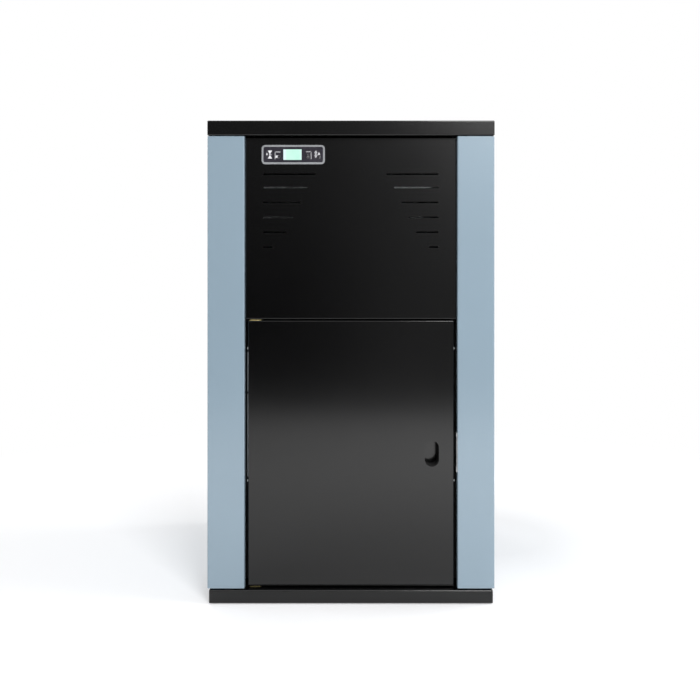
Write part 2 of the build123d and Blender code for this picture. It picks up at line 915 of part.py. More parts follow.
# Rear cover: an upper sheet with vent slots over a lower one with a hole for each connection
flue_x = flue_port_x + smoke_box_half_width + fan_width / 2
fan_y = body_back_y + fan_centre_depth
fan_z = body_bottom + fan_centre_height
outlet_low_z = fan_z - volute_end_radius
outlet_high_z = fan_z + volute_start_radius * sin(radians(volute_tongue_angle))
flue_z = (outlet_low_z + outlet_high_z) / 2
flow_z = body_bottom + flow_height
return_z = body_bottom + return_height
inlet_x = side_inner_x - post_leg - inlet_post_gap
rear_seam_z = casing_top - rear_seam_drop
rear_sheet_x = (-half_width + fold_radius, half_width - fold_radius)
with BuildPart() as rear_cover:
    with BuildSketch(facing_front(rear_y)):
        rectangle_between(rear_sheet_x, (casing_bottom, rear_seam_z - seat_gap))
        rectangle_between(rear_sheet_x, (rear_seam_z, casing_top))
        with Locations((flue_x, flue_z)):
            Circle(flue_radius + cover_hole_clearance, mode=Mode.SUBTRACT)
        with Locations((0, air_port_z)):
            Circle(air_pipe_radius + cover_hole_clearance, mode=Mode.SUBTRACT)
        with Locations((flow_x, flow_z), (return_x, return_z)):
            Circle(pipe_radius + cover_hole_clearance, mode=Mode.SUBTRACT)
        with Locations((inlet_x, inlet_z)):
            Rectangle(
                inlet_body_width + 2 * press_clearance,
                inlet_body_height + 2 * press_clearance,
                mode=Mode.SUBTRACT,
            )
        with Locations(*rear_screw_positions):
            Circle(rear_screw_radius + rear_screw_clearance, mode=Mode.SUBTRACT)
        with Locations((0, casing_top - rear_slot_drop)):
            with GridLocations(rear_slot_pitch_x, rear_slot_pitch_z, rear_slot_columns, rear_slot_rows):
                Rectangle(rear_slot_length, rear_slot_width, mode=Mode.SUBTRACT)
    extrude(amount=casing_sheet)
finish(rear_cover, "rear_cover")

# Casing screws: the bevelled screws that hold the rear cover to the rear posts
with BuildPart() as casing_screws:
    with BuildSketch(facing_front(rear_y + rear_screw_head_height)):
        with Locations(*rear_screw_positions):
            Circle(rear_screw_head_radius)
    extrude(amount=rear_screw_head_height)
    chamfer(casing_screws.edges().group_by(Axis.Y)[-1], rear_screw_head_height / 2)
    with BuildSketch(facing_front(rear_y)):
        with Locations(*rear_screw_positions):
            Circle(rear_screw_radius)
    extrude(amount=rear_screw_length)
finish(casing_screws, "casing_screws")

# Outer door skin: a deep tray with rounded edges, hinge holes and the finger pull's cut-out
with BuildPart() as door_skin:
    with BuildSketch(facing_front(door_back_y)):
        rectangle_between((-door_half_width, door_half_width), (door_bottom, door_top))
    extrude(amount=door_thickness)
    fillet(door_skin.faces().sort_by(Axis.Y)[0].edges(), door_edge_radius)
    offset(amount=-casing_sheet, openings=door_skin.faces().sort_by(Axis.Y)[-1])
    with BuildSketch(facing_front(door_front_y + 2 * casing_sheet)):
        with Locations((pull_x, pull_z)):
            SlotOverall(pull_height + 2 * pull_wall, pull_width + 2 * pull_wall, rotation=90)
    extrude(amount=3 * casing_sheet, mode=Mode.SUBTRACT)
    with Locations((hinge_x, hinge_y, (door_bottom + door_top) / 2)):
        Cylinder(hinge_bush_radius, door_height, mode=Mode.SUBTRACT)
    with BuildSketch(facing_right(-door_half_width)):
        with Locations(*((door_front_y + side_screw_setback, z) for z in side_screw_heights)):
            Circle(side_screw_shank_radius)
    extrude(amount=2 * door_half_width, mode=Mode.SUBTRACT)
finish(door_skin, "door_skin")

# Door liner: the inner sheet that closes the door, stiffened by a shallow pressing
with BuildPart() as door_liner:
    with BuildSketch(facing_front(door_back_y)):
        rectangle_between(
            (-door_half_width + casing_sheet, door_half_width - casing_sheet),
            (door_bottom + casing_sheet, door_top - casing_sheet),
        )
    extrude(amount=casing_sheet)
    with BuildSketch(facing_front(door_back_y)):
        rectangle_between(
            (-door_half_width + liner_border, door_half_width - liner_border),
            (door_bottom + liner_border, door_top - liner_border),
        )
    extrude(amount=casing_sheet + liner_pressing, taper=20)
    with BuildSketch(facing_front(door_back_y)):
        rectangle_between(
            (-door_half_width + liner_border + casing_sheet, door_half_width - liner_border - casing_sheet),
            (door_bottom + liner_border + casing_sheet, door_top - liner_border - casing_sheet),
        )
    extrude(amount=liner_pressing, taper=20, mode=Mode.SUBTRACT)
finish(door_liner, "door_liner")

# Finger pull: a deep round-ended cup, held by a flange behind the door skin
with BuildPart() as finger_pull:
    with BuildSketch(facing_front(door_front_y + pull_depth + pull_wall)):
        with Locations((pull_x, pull_z)):
            SlotOverall(pull_height + 2 * pull_wall, pull_width + 2 * pull_wall, rotation=90)
    extrude(amount=pull_depth + pull_wall)
    with BuildSketch(facing_front(door_front_y + casing_sheet + pull_wall)):
        with Locations((pull_x, pull_z)):
            SlotOverall(
                pull_height + 2 * (pull_wall + pull_flange),
                pull_width + 2 * (pull_wall + pull_flange),
                rotation=90,
            )
    extrude(amount=pull_wall)
    with BuildSketch(facing_front(door_front_y + pull_depth)):
        with Locations((pull_x, pull_z)):
            SlotOverall(pull_height, pull_width, rotation=90)
    extrude(amount=pull_depth, mode=Mode.SUBTRACT)
finish(finger_pull, "finger_pull")

# Door side fittings: the bright edge strip in two lengths on the hinge side, and both sides' screws
trim_back_y = door_front_y + side_screw_setback + trim_width
with BuildPart() as door_side_fittings:
    for low, high in (
        (side_screw_heights[0] + trim_end_margin, trim_split_z - trim_joint_gap / 2),
        (trim_split_z + trim_joint_gap / 2, side_screw_heights[1] - trim_end_margin),
    ):
        with BuildSketch(level(low)) as strip:
            rectangle_between(
                (-door_half_width - trim_thickness, -door_half_width),
                (trim_back_y - trim_width, trim_back_y),
            )
            fillet(strip.vertices().group_by(Axis.X)[0], trim_thickness / 3)
        extrude(strip.sketch, amount=high - low)
    for side in (-1, 1):
        for screw_z in side_screw_heights:
            plane = Plane(
                origin=(side * door_half_width, door_front_y + side_screw_setback, screw_z),
                z_dir=(side, 0, 0),
            )
            with BuildSketch(plane) as head:
                Circle(side_screw_head_radius)
            extrude(head.sketch, amount=side_screw_head_height, taper=20)
            with BuildSketch(plane) as shank:
                Circle(side_screw_shank_radius)
            extrude(shank.sketch, amount=-side_screw_length)
finish(door_side_fittings, "door_side_fittings")

# Door bushes, pressed in the skin's upper and lower flanges
with BuildPart() as door_bushes:
    for bush_z in (door_bottom, door_top - hinge_pin_length):
        with BuildSketch(level(bush_z)) as ring:
            with Locations((hinge_x, hinge_y)):
                Circle(hinge_bush_radius)
                Circle(hinge_pin_radius + pin_clearance, mode=Mode.SUBTRACT)
        extrude(ring.sketch, amount=hinge_pin_length)
finish(door_bushes, "door_bushes")

# Door hinges: a plate on the plinth and a bent plate under the upper panel, each with its pin
lower_hinge_top = plinth_top + hinge_plate_thickness
upper_hinge_low = door_top + (door_bottom - lower_hinge_top)
hinge_plate_x = (
    hinge_x - hinge_plate_outboard,
    hinge_x - hinge_plate_outboard + hinge_plate_width,
)
with BuildPart() as door_hinges:
    for plate_z in (plinth_top, upper_hinge_low):
        with BuildSketch(level(plate_z)) as plate:
            rectangle_between(hinge_plate_x, (hinge_y - 1.2 * hinge_bush_radius, jamb_y))
            fillet(plate.vertices().group_by(Axis.Y)[0], hinge_bush_radius)
        extrude(plate.sketch, amount=hinge_plate_thickness)
    with BuildSketch(level(upper_hinge_low - hinge_tab_drop)) as tab:
        rectangle_between(hinge_plate_x, (jamb_y - hinge_tab_thickness, jamb_y))
    extrude(tab.sketch, amount=hinge_tab_drop)
    with BuildSketch(level(lower_hinge_top)) as lower_pin:
        with Locations((hinge_x, hinge_y)):
            Circle(hinge_pin_radius)
    extrude(lower_pin.sketch, amount=hinge_pin_length)
    with BuildSketch(level(upper_hinge_low)) as upper_pin:
        with Locations((hinge_x, hinge_y)):
            Circle(hinge_pin_radius)
    extrude(upper_pin.sketch, amount=-hinge_pin_length)
finish(door_hinges, "door_hinges")

# Door seal: a rubber strip along the top, the latch side and the bottom of the frame
seal_left_x = hinge_plate_x[1] + seal_width
seal_right_x = jamb_half_opening + frame_sheet + seal_width
seal_low_z = door_bottom + seal_width
seal_high_z = door_top - seal_width
with BuildPart() as door_seal:
    with BuildSketch(facing_front(jamb_y)):
        rectangle_between((seal_left_x, seal_right_x), (seal_low_z, seal_high_z))
        rectangle_between(
            (seal_left_x, seal_right_x - seal_width),
            (seal_low_z + seal_width, seal_high_z - seal_width),
            mode=Mode.SUBTRACT,
        )
    extrude(amount=door_rear_gap - seat_gap)
finish(door_seal, "door_seal")

# Door catches: two magnets on the jamb and the steel catch plate on the pilaster's return
catch_z = pull_z + catch_lift
with BuildPart() as door_catches:
    for magnet_z in magnet_heights:
        block(
            (door_half_width - 2 * casing_sheet - magnet_width, door_half_width - 2 * casing_sheet),
            (door_back_y + seat_gap, jamb_y),
            (magnet_z - magnet_height / 2, magnet_z + magnet_height / 2),
        )
    catch_y = (pilaster_front_y + fold_radius + casing_sheet, pilaster_front_y + pilaster_return)
    block(
        (pilaster_inner_x - catch_thickness, pilaster_inner_x),
        catch_y,
        (catch_z - catch_height / 2, catch_z + catch_height / 2),
    )
    for end in (-1, 1):
        block(
            (pilaster_inner_x - catch_thickness - catch_lip_rise, pilaster_inner_x - catch_thickness),
            catch_y,
            sorted((catch_z + end * catch_height / 2, catch_z + end * (catch_height / 2 - catch_lip))),
        )
finish(door_catches, "door_catches")

# Control panel: rim with a neck through the upper panel, fascia, window, four keys and the board behind
opening_width = bezel_width - 2 * bezel_rim
opening_height = bezel_height - 2 * bezel_rim
opening_radius = bezel_radius - bezel_rim
with BuildPart() as control_bezel:
    with BuildSketch(facing_front(door_front_y)):
        with Locations((display_x, display_z)):
            RectangleRounded(bezel_width, bezel_height, bezel_radius)
    extrude(amount=bezel_proud)
    chamfer(control_bezel.faces().sort_by(Axis.Y)[0].edges(), bezel_proud / 3)
    with BuildSketch(facing_front(door_front_y + bezel_neck_depth)):
        with Locations((display_x, display_z)):
            RectangleRounded(
                opening_width + 2 * bezel_neck, opening_height + 2 * bezel_neck, opening_radius + bezel_neck
            )
    extrude(amount=bezel_neck_depth)
    with BuildSketch(facing_front(door_front_y + bezel_neck_depth)):
        with Locations((display_x, display_z)):
            RectangleRounded(opening_width, opening_height, opening_radius)
    extrude(amount=bezel_neck_depth + bezel_proud, mode=Mode.SUBTRACT)
finish(control_bezel, "control_bezel")

window_x = display_x + window_shift
key_first_x = display_x - opening_width / 2 + key_outer_margin
key_positions = [
    key_first_x,
    key_first_x + key_pitch,
    2 * display_x - key_first_x - key_pitch,
    2 * display_x - key_first_x,
]
fascia_front_y = door_front_y - bezel_proud + fascia_recess
fascia_back_y = fascia_front_y + fascia_thickness
board_y = fascia_back_y + board_standoff
spacer_positions = [
    (display_x + side * (opening_width / 2 - 2 * board_spacer_radius), display_z + rise)
    for side in (-1, 1)
    for rise in (-opening_height / 4, opening_height / 4)
]
with BuildPart() as control_fascia:
    with BuildSketch(facing_front(fascia_back_y)):
        with Locations((display_x, display_z)):
            RectangleRounded(
                opening_width - 2 * press_clearance,
                opening_height - 2 * press_clearance,
                opening_radius - press_clearance,
            )
        with Locations((window_x, display_z)):
            Rectangle(
                window_width + 2 * press_clearance, window_height + 2 * press_clearance, mode=Mode.SUBTRACT
            )
        with Locations(*((key_x, display_z) for key_x in key_positions)):
            RectangleRounded(
                key_width + 2 * seat_gap,
                key_height + 2 * seat_gap,
                key_radius + seat_gap,
                mode=Mode.SUBTRACT,
            )
    extrude(amount=fascia_thickness)
    with BuildSketch(facing_front(board_y)):
        with Locations(*spacer_positions):
            Circle(board_spacer_radius)
    extrude(amount=board_standoff)
finish(control_fascia, "control_fascia")

with BuildPart() as display_window:
    with BuildSketch(facing_front(board_y)):
        with Locations((window_x, display_z)):
            Rectangle(window_width, window_height)
    extrude(amount=board_y - fascia_front_y)
finish(display_window, "display_window")

key_back_y = fascia_front_y - key_proud + key_thickness
for number, key_x in enumerate(key_positions, start=1):
    with BuildPart() as key:
        with BuildSketch(facing_front(key_back_y)):
            with Locations((key_x, display_z)):
                RectangleRounded(key_width, key_height, key_radius)
        extrude(amount=key_thickness)
        chamfer(key.faces().sort_by(Axis.Y)[0].edges(), key_proud)
    finish(key, f"key_{number}")

# Circuit board with a small push switch behind each key
with BuildPart() as circuit_board:
    with BuildSketch(facing_front(board_y + board_thickness)):
        with Locations((display_x, display_z)):
            RectangleRounded(
                opening_width - 2 * press_clearance,
                opening_height - 2 * press_clearance,
                opening_radius - press_clearance,
            )
    extrude(amount=board_thickness)
    with BuildSketch(facing_front(board_y)):
        with Locations(*((key_x, display_z) for key_x in key_positions)):
            Circle(switch_radius)
    extrude(amount=board_y - key_back_y - key_travel - press_clearance)
finish(circuit_board, "circuit_board")


def gas_passages(wall, mode):
    """Every space that smoke, ash, pellets or air pass through, grown by a wall thickness."""
    block(
        (-ash_half_width - wall, ash_half_width + wall),
        (body_front_y, chamber_back_y + wall),
        (ash_floor_z - wall, ash_ceiling_z + wall),
        mode=mode,
    )
    block(
        (-chamber_half_width - wall, chamber_half_width + wall),
        (body_front_y, chamber_back_y + wall),
        (chamber_floor_z - wall, chamber_ceiling_z + wall),
        mode=mode,
    )
    block(
        (-pot_hole / 2 - wall, pot_hole / 2 + wall),
        (pot_y - pot_hole / 2 - wall, pot_y + pot_hole / 2 + wall),
        (ash_ceiling_z, chamber_floor_z),
        mode=mode,
    )
    block(
        (-exchanger_half_width - wall, exchanger_half_width + wall),
        (exchanger_front_y - wall, exchanger_back_y + wall),
        (upper_header_z - wall, chamber_ceiling_z + wall),
        mode=mode,
    )
    block(
        (-chamber_half_width - wall, chamber_half_width + wall),
        (chamber_back_y, exchanger_front_y),
        (upper_header_z - wall, chamber_ceiling_z + wall),
        mode=mode,
    )
    block(
        (-exchanger_half_width - wall, exchanger_half_width + wall),
        (exchanger_front_y - wall, exchanger_back_y + wall),
        (lower_header_z - wall, lower_header_top + wall),
        mode=mode,
    )
    block(
        (flue_port_x - flue_port_width / 2 - wall, flue_port_x + flue_port_width / 2 + wall),
        (exchanger_back_y, body_back_y),
        (lower_header_z + gas_wall - wall, lower_header_z + gas_wall + flue_port_height + wall),
        mode=mode,
    )
    for tube_x in tube_positions:
        cylinder_between(
            level(lower_header_top),
            (tube_x, tube_y),
            tube_radius + wall,
            upper_header_z - lower_header_top,
            mode,
        )
    cylinder_between(
        level(chamber_ceiling_z),
        (0, pot_y),
        chute_radius - chute_wall + wall,
        body_top - chamber_ceiling_z,
        mode,
    )
    cylinder_between(
        facing_front(body_back_y),
        (0, air_port_z),
        air_port_radius + wall,
        body_back_y - chamber_back_y,
        mode,
    )


# Water space between the boiler's outer shell and the walls around its gas passages
with BuildPart() as water_space:
    block(
        (-body_half_width + body_shell, body_half_width - body_shell),
        (body_front_y + body_shell, body_back_y - body_shell),
        (body_bottom + body_shell, body_top - body_shell),
    )
    gas_passages(gas_wall, Mode.SUBTRACT)
    cylinder_between(facing_front(body_back_y), (flow_x, flow_z), pipe_bore, 2 * body_shell)
    cylinder_between(facing_front(body_back_y), (return_x, return_z), pipe_bore, 2 * body_shell)

# Boiler body: welded plates, hollow for water, open for the fire door, ash drawer, chute, air and flue
with BuildPart() as boiler_body:
    with BuildSketch(level(body_bottom)):
        with Locations((0, (body_front_y + body_back_y) / 2)):
            RectangleRounded(body_width, body_depth, body_corner)
    extrude(amount=body_height)
    gas_passages(0.0, Mode.SUBTRACT)
    add(water_space.part, mode=Mode.SUBTRACT)
    for side in (-1, 1):
        skid_x = side * (body_half_width - skid_width / 2)
        with BuildSketch(facing_front(body_back_y)) as skid:
            rectangle_between(
                (skid_x - skid_width / 2, skid_x + skid_width / 2), (plinth_top, body_bottom)
            )
            rectangle_between(
                (skid_x - skid_width / 2 + skid_sheet, skid_x + skid_width / 2 - skid_sheet),
                (plinth_top, body_bottom - skid_sheet),
                mode=Mode.SUBTRACT,
            )
        extrude(skid.sketch, amount=body_depth)

# The body's weld seams: skids, front plate beside and between its openings, rear, sides, bottom and top,
# then the walls of the ash space and the chamber; the heat exchanger is what remains
body_x = (-body_half_width, body_half_width)
plate_y = (body_front_y, body_front_y + body_shell)
inner_y = (body_front_y + body_shell, body_back_y - body_shell)
wall_y = (body_front_y + body_shell, chamber_back_y + gas_wall)
shell_x = body_half_width - body_shell
pot_half = pot_hole / 2
body_seams = [(body_x, (body_front_y, body_back_y), (plinth_top, body_bottom))]
front_rows = (body_bottom, ash_floor_z, ash_ceiling_z, chamber_floor_z, chamber_ceiling_z, body_top)
front_gaps = (None, ash_half_width, None, chamber_half_width, None)
for low, high, gap in zip(front_rows, front_rows[1:], front_gaps):
    row_x = [body_x] if gap is None else [(-body_half_width, -gap), (gap, body_half_width)]
    body_seams += [(x_limits, plate_y, (low, high)) for x_limits in row_x]
body_seams.append((body_x, (body_back_y - body_shell, body_back_y), (body_bottom, body_top)))
for side in (-1, 1):
    body_seams += [
        (sorted((side * shell_x, side * body_half_width)), inner_y, (body_bottom, body_top)),
        (
            sorted((side * ash_half_width, side * (ash_half_width + gas_wall))),
            wall_y,
            (body_bottom + body_shell, ash_ceiling_z + gas_wall),
        ),
        (
            sorted((side * chamber_half_width, side * (chamber_half_width + gas_wall))),
            wall_y,
            (chamber_floor_z - gas_wall, chamber_ceiling_z + gas_wall),
        ),
        (
            sorted((side * pot_half, side * ash_half_width)),
            wall_y,
            (ash_ceiling_z, chamber_floor_z),
        ),
    ]
body_seams += [
    (body_x, inner_y, (body_bottom, body_bottom + body_shell)),
    (body_x, inner_y, (body_top - body_shell, body_top)),
    ((-pot_half, pot_half), (body_front_y + body_shell, pot_y), (ash_ceiling_z, chamber_floor_z)),
    ((-pot_half, pot_half), (pot_y, chamber_back_y + gas_wall), (ash_ceiling_z, chamber_floor_z)),
    (body_x, wall_y, (body_bottom + body_shell, ash_floor_z)),
    (body_x, (chamber_back_y, chamber_back_y + gas_wall), (ash_floor_z, ash_ceiling_z)),
    (body_x, (chamber_back_y, chamber_back_y + gas_wall), (chamber_floor_z, upper_header_z - gas_wall)),
    (body_x, wall_y, (chamber_ceiling_z, chamber_ceiling_z + gas_wall)),
    (body_x, wall_y, (chamber_ceiling_z + gas_wall, body_top - body_shell)),
]
cut_at_seams(boiler_body, body_seams, "boiler_body")

# Insulation: a board on each side of the body and one over its front half, cut round the chute
with BuildPart() as insulation_panels:
    for side in (-1, 1):
        block(
            sorted((side * body_half_width, side * (body_half_width + insulation_thickness))),
            (body_front_y + fire_hinge_offset, body_back_y),
            (body_bottom, body_top),
        )
    with BuildSketch(level(body_top)) as top_board:
        rectangle_between((-body_half_width, body_half_width), (body_front_y, body_back_y))
        with Locations((0, pot_y)):
            Circle(chute_flange_radius + seat_gap, mode=Mode.SUBTRACT)
    extrude(top_board.sketch, amount=insulation_thickness)
finish(insulation_panels, "insulation_panels")

# Burn pot: a cast cup with air holes that sits by its flange over the hole in the chamber floor
pot_bottom_z = chamber_floor_z - pot_drop
pot_top_z = chamber_floor_z + pot_rise
with BuildPart() as burn_pot:
    with BuildSketch(level(pot_bottom_z)):
        with Locations((0, pot_y)):
            RectangleRounded(pot_size, pot_size, pot_wall)
    extrude(amount=pot_top_z - pot_bottom_z)
    with BuildSketch(level(chamber_floor_z)):
        with Locations((0, pot_y)):
            RectangleRounded(pot_flange, pot_flange, pot_wall)
    extrude(amount=pot_flange_thickness)
    with BuildSketch(level(pot_bottom_z + pot_wall)):
        with Locations((0, pot_y)):
            RectangleRounded(pot_size - 2 * pot_wall, pot_size - 2 * pot_wall, pot_wall / 2)
    extrude(amount=pot_top_z, mode=Mode.SUBTRACT)
    with BuildSketch(level(pot_bottom_z)):
        with Locations((0, pot_y)):
            with GridLocations(pot_hole_pitch, pot_hole_pitch, pot_holes_across, pot_holes_across):
                Circle(pot_hole_radius)
    extrude(amount=pot_wall, mode=Mode.SUBTRACT)
    cylinder_between(
        facing_front(pot_y + pot_size / 2), (0, air_port_z), igniter_bore, pot_wall, Mode.SUBTRACT
    )
finish(burn_pot, "burn_pot")

# Igniter: a heating rod held in the middle of the air port by a three-armed spider
igniter_tip_y = pot_y + pot_size / 2 - pot_wall / 2
igniter_end_y = body_back_y + igniter_tail
with BuildPart() as igniter:
    cylinder_between(
        facing_front(igniter_end_y), (0, air_port_z), igniter_radius, igniter_end_y - igniter_tip_y
    )
    with BuildSketch(facing_front(body_back_y - body_shell)):
        with Locations((0, air_port_z)):
            with PolarLocations(air_port_radius / 2, 3, start_angle=90):
                Rectangle(air_port_radius - 2 * press_clearance, igniter_spider)
    extrude(amount=igniter_spider)
finish(igniter, "igniter")

# Fire door: a cast plate with a rim round its gasket groove, hinge knuckles at the left
fire_half_width = chamber_half_width + fire_door_overlap
fire_low_z = chamber_floor_z - (chamber_floor_z - ash_ceiling_z) / 3
fire_high_z = chamber_ceiling_z + fire_door_overlap
fire_rear_y = body_front_y - rope_stand
fire_plate_y = fire_rear_y - fire_door_rim
fire_front_y = fire_plate_y - fire_door_plate
fire_centre_z = (fire_low_z + fire_high_z) / 2
fire_axis_x = -fire_half_width - fire_hinge_offset
fire_axis_y = body_front_y - rope_stand - fire_hinge_radius - seat_gap
fire_hinge_heights = (fire_centre_z - fire_hinge_spread / 2, fire_centre_z + fire_hinge_spread / 2)
latch_x = fire_half_width - latch_inset
with BuildPart() as fire_door:
    with BuildSketch(facing_front(fire_rear_y)):
        with Locations((0, fire_centre_z)):
            RectangleRounded(2 * fire_half_width, fire_high_z - fire_low_z, fire_door_corner)
    extrude(amount=fire_rear_y - fire_front_y)
    fillet(fire_door.faces().sort_by(Axis.Y)[0].edges(), fire_door_edge)
    with BuildSketch(facing_front(fire_rear_y)):
        with Locations((0, fire_centre_z)):
            Rectangle(
                2 * fire_half_width - 2 * fire_door_rim_width,
                fire_high_z - fire_low_z - 2 * fire_door_rim_width,
            )
    extrude(amount=fire_door_rim, mode=Mode.SUBTRACT)
    with BuildSketch(facing_front(fire_rear_y)):
        with Locations((0, fire_centre_z)):
            Rectangle(
                2 * fire_half_width - 2 * fire_door_rim_width - 2 * rope_width,
                fire_high_z - fire_low_z - 2 * fire_door_rim_width - 2 * rope_width,
            )
    extrude(amount=fire_door_rim)
    for hinge_z in fire_hinge_heights:
        with BuildSketch(level(hinge_z)) as knuckle:
            with Locations((fire_axis_x, fire_axis_y)):
                Circle(fire_hinge_radius)
            rectangle_between(
                (fire_axis_x, -fire_half_width + fire_door_rim_width / 2),
                (fire_axis_y - fire_hinge_radius, fire_axis_y),
            )
            with Locations((fire_axis_x, fire_axis_y)):
                Circle(fire_hinge_pin_radius + pin_clearance, mode=Mode.SUBTRACT)
        extrude(knuckle.sketch, amount=fire_knuckle_length)
    cylinder_between(
        facing_front(fire_rear_y),
        (latch_x, fire_centre_z),
        latch_spindle_radius + pin_clearance,
        fire_rear_y - fire_front_y,
        Mode.SUBTRACT,
    )
finish(fire_door, "fire_door")

# Fire door gasket: glass rope in the door's groove, just clear of the body's face
with BuildPart() as fire_door_gasket:
    with BuildSketch(facing_front(body_front_y - seat_gap)):
        with Locations((0, fire_centre_z)):
            Rectangle(
                2 * fire_half_width - 2 * fire_door_rim_width,
                fire_high_z - fire_low_z - 2 * fire_door_rim_width,
            )
            Rectangle(
                2 * fire_half_width - 2 * fire_door_rim_width - 2 * rope_width,
                fire_high_z - fire_low_z - 2 * fire_door_rim_width - 2 * rope_width,
                mode=Mode.SUBTRACT,
            )
    extrude(amount=body_front_y - seat_gap - fire_plate_y)
finish(fire_door_gasket, "fire_door_gasket")

# Fire door hinges and keeper: welded lugs with pins at the left, a hooked keeper at the right
tongue_back_y = fire_front_y - seat_gap
tongue_front_y = tongue_back_y - latch_thickness
keeper_x = fire_half_width + 0.75 * keeper_width
with BuildPart() as fire_door_hinges:
    for hinge_z in fire_hinge_heights:
        with BuildSketch(level(hinge_z - seat_gap - fire_lug_length)) as lug:
            with Locations((fire_axis_x, fire_axis_y)):
                Circle(fire_hinge_radius)
            rectangle_between(
                (fire_axis_x - fire_hinge_radius, fire_axis_x + fire_hinge_radius),
                (fire_axis_y, body_front_y),
            )
        extrude(lug.sketch, amount=fire_lug_length)
        with BuildSketch(level(hinge_z - seat_gap)) as pin:
            with Locations((fire_axis_x, fire_axis_y)):
                Circle(fire_hinge_pin_radius)
        extrude(pin.sketch, amount=fire_knuckle_length + seat_gap)
    keeper_low_z = fire_centre_z - latch_tongue_height / 2 - seat_gap - keeper_post_height
    with BuildSketch(facing_right(keeper_x - keeper_width / 2)) as keeper:
        rectangle_between(
            (tongue_front_y - seat_gap - keeper_lip, body_front_y),
            (keeper_low_z, keeper_low_z + keeper_post_height),
        )
        rectangle_between(
            (tongue_front_y - seat_gap - keeper_lip, tongue_front_y - seat_gap),
            (keeper_low_z, keeper_low_z + keeper_post_height + keeper_lip_rise),
        )
    extrude(keeper.sketch, amount=keeper_width)
finish(fire_door_hinges, "fire_door_hinges")

# Fire door handle: spindle, boss, latch tongue and hanging grip in one casting, stored unlatched
with BuildPart() as fire_door_handle:
    cylinder_between(
        facing_front(tongue_back_y), (latch_x, fire_centre_z), latch_boss_radius, latch_thickness
    )
    with BuildSketch(facing_front(tongue_back_y)) as tongue:
        rectangle_between(
            (latch_x - latch_tongue_height / 2, latch_x + latch_tongue_height / 2),
            (fire_centre_z, fire_centre_z + latch_reach),
        )
        fillet(tongue.vertices().group_by(Axis.Y)[-1], latch_tongue_height / 3)
    extrude(tongue.sketch, amount=latch_thickness)
    cylinder_between(
        facing_front(tongue_back_y + fire_rear_y - fire_front_y),
        (latch_x, fire_centre_z),
        latch_spindle_radius,
        fire_rear_y - fire_front_y,
    )
    grip_y = tongue_front_y - latch_grip_radius / 2
    with BuildSketch(level(fire_centre_z)) as grip_root:
        with Locations((latch_x, grip_y)):
            Circle(latch_grip_radius)
    extrude(grip_root.sketch, amount=-latch_grip_length, taper=-1.5)
finish(fire_door_handle, "fire_door_handle")

# Ash drawer: a folded tray with a front plate and a bent-wire handle
drawer_half_width = ash_half_width - drawer_side_gap
drawer_low_z = ash_floor_z + seat_gap
drawer_back_y = chamber_back_y - 2 * drawer_side_gap
drawer_plate_y = body_front_y - seat_gap
drawer_front_y = drawer_plate_y - drawer_front_thickness
drawer_grip_z = (ash_floor_z + ash_ceiling_z) / 2
with BuildPart() as ash_drawer:
    with BuildSketch(level(drawer_low_z)):
        rectangle_between((-drawer_half_width, drawer_half_width), (drawer_plate_y, drawer_back_y))
    extrude(amount=drawer_height)
    offset(amount=-drawer_sheet, openings=ash_drawer.faces().sort_by(Axis.Z)[-1])
    with BuildSketch(facing_front(drawer_plate_y)):
        with Locations((0, drawer_grip_z)):
            RectangleRounded(
                2 * (ash_half_width + drawer_front_overlap),
                ash_height + drawer_front_overlap,
                drawer_front_overlap / 2,
            )
    extrude(amount=drawer_front_thickness)
    with BuildLine() as grip_path:
        FilletPolyline(
            (-drawer_handle_width / 2, drawer_front_y + drawer_handle_radius, drawer_grip_z),
            (-drawer_handle_width / 2, drawer_front_y - drawer_handle_reach, drawer_grip_z),
            (drawer_handle_width / 2, drawer_front_y - drawer_handle_reach, drawer_grip_z),
            (drawer_handle_width / 2, drawer_front_y + drawer_handle_radius, drawer_grip_z),
            radius=2 * drawer_handle_radius,
        )
    with BuildSketch(Plane(origin=grip_path.line @ 0, z_dir=grip_path.line % 0)):
        Circle(drawer_handle_radius)
    sweep(path=grip_path.line)
finish(ash_drawer, "ash_drawer")

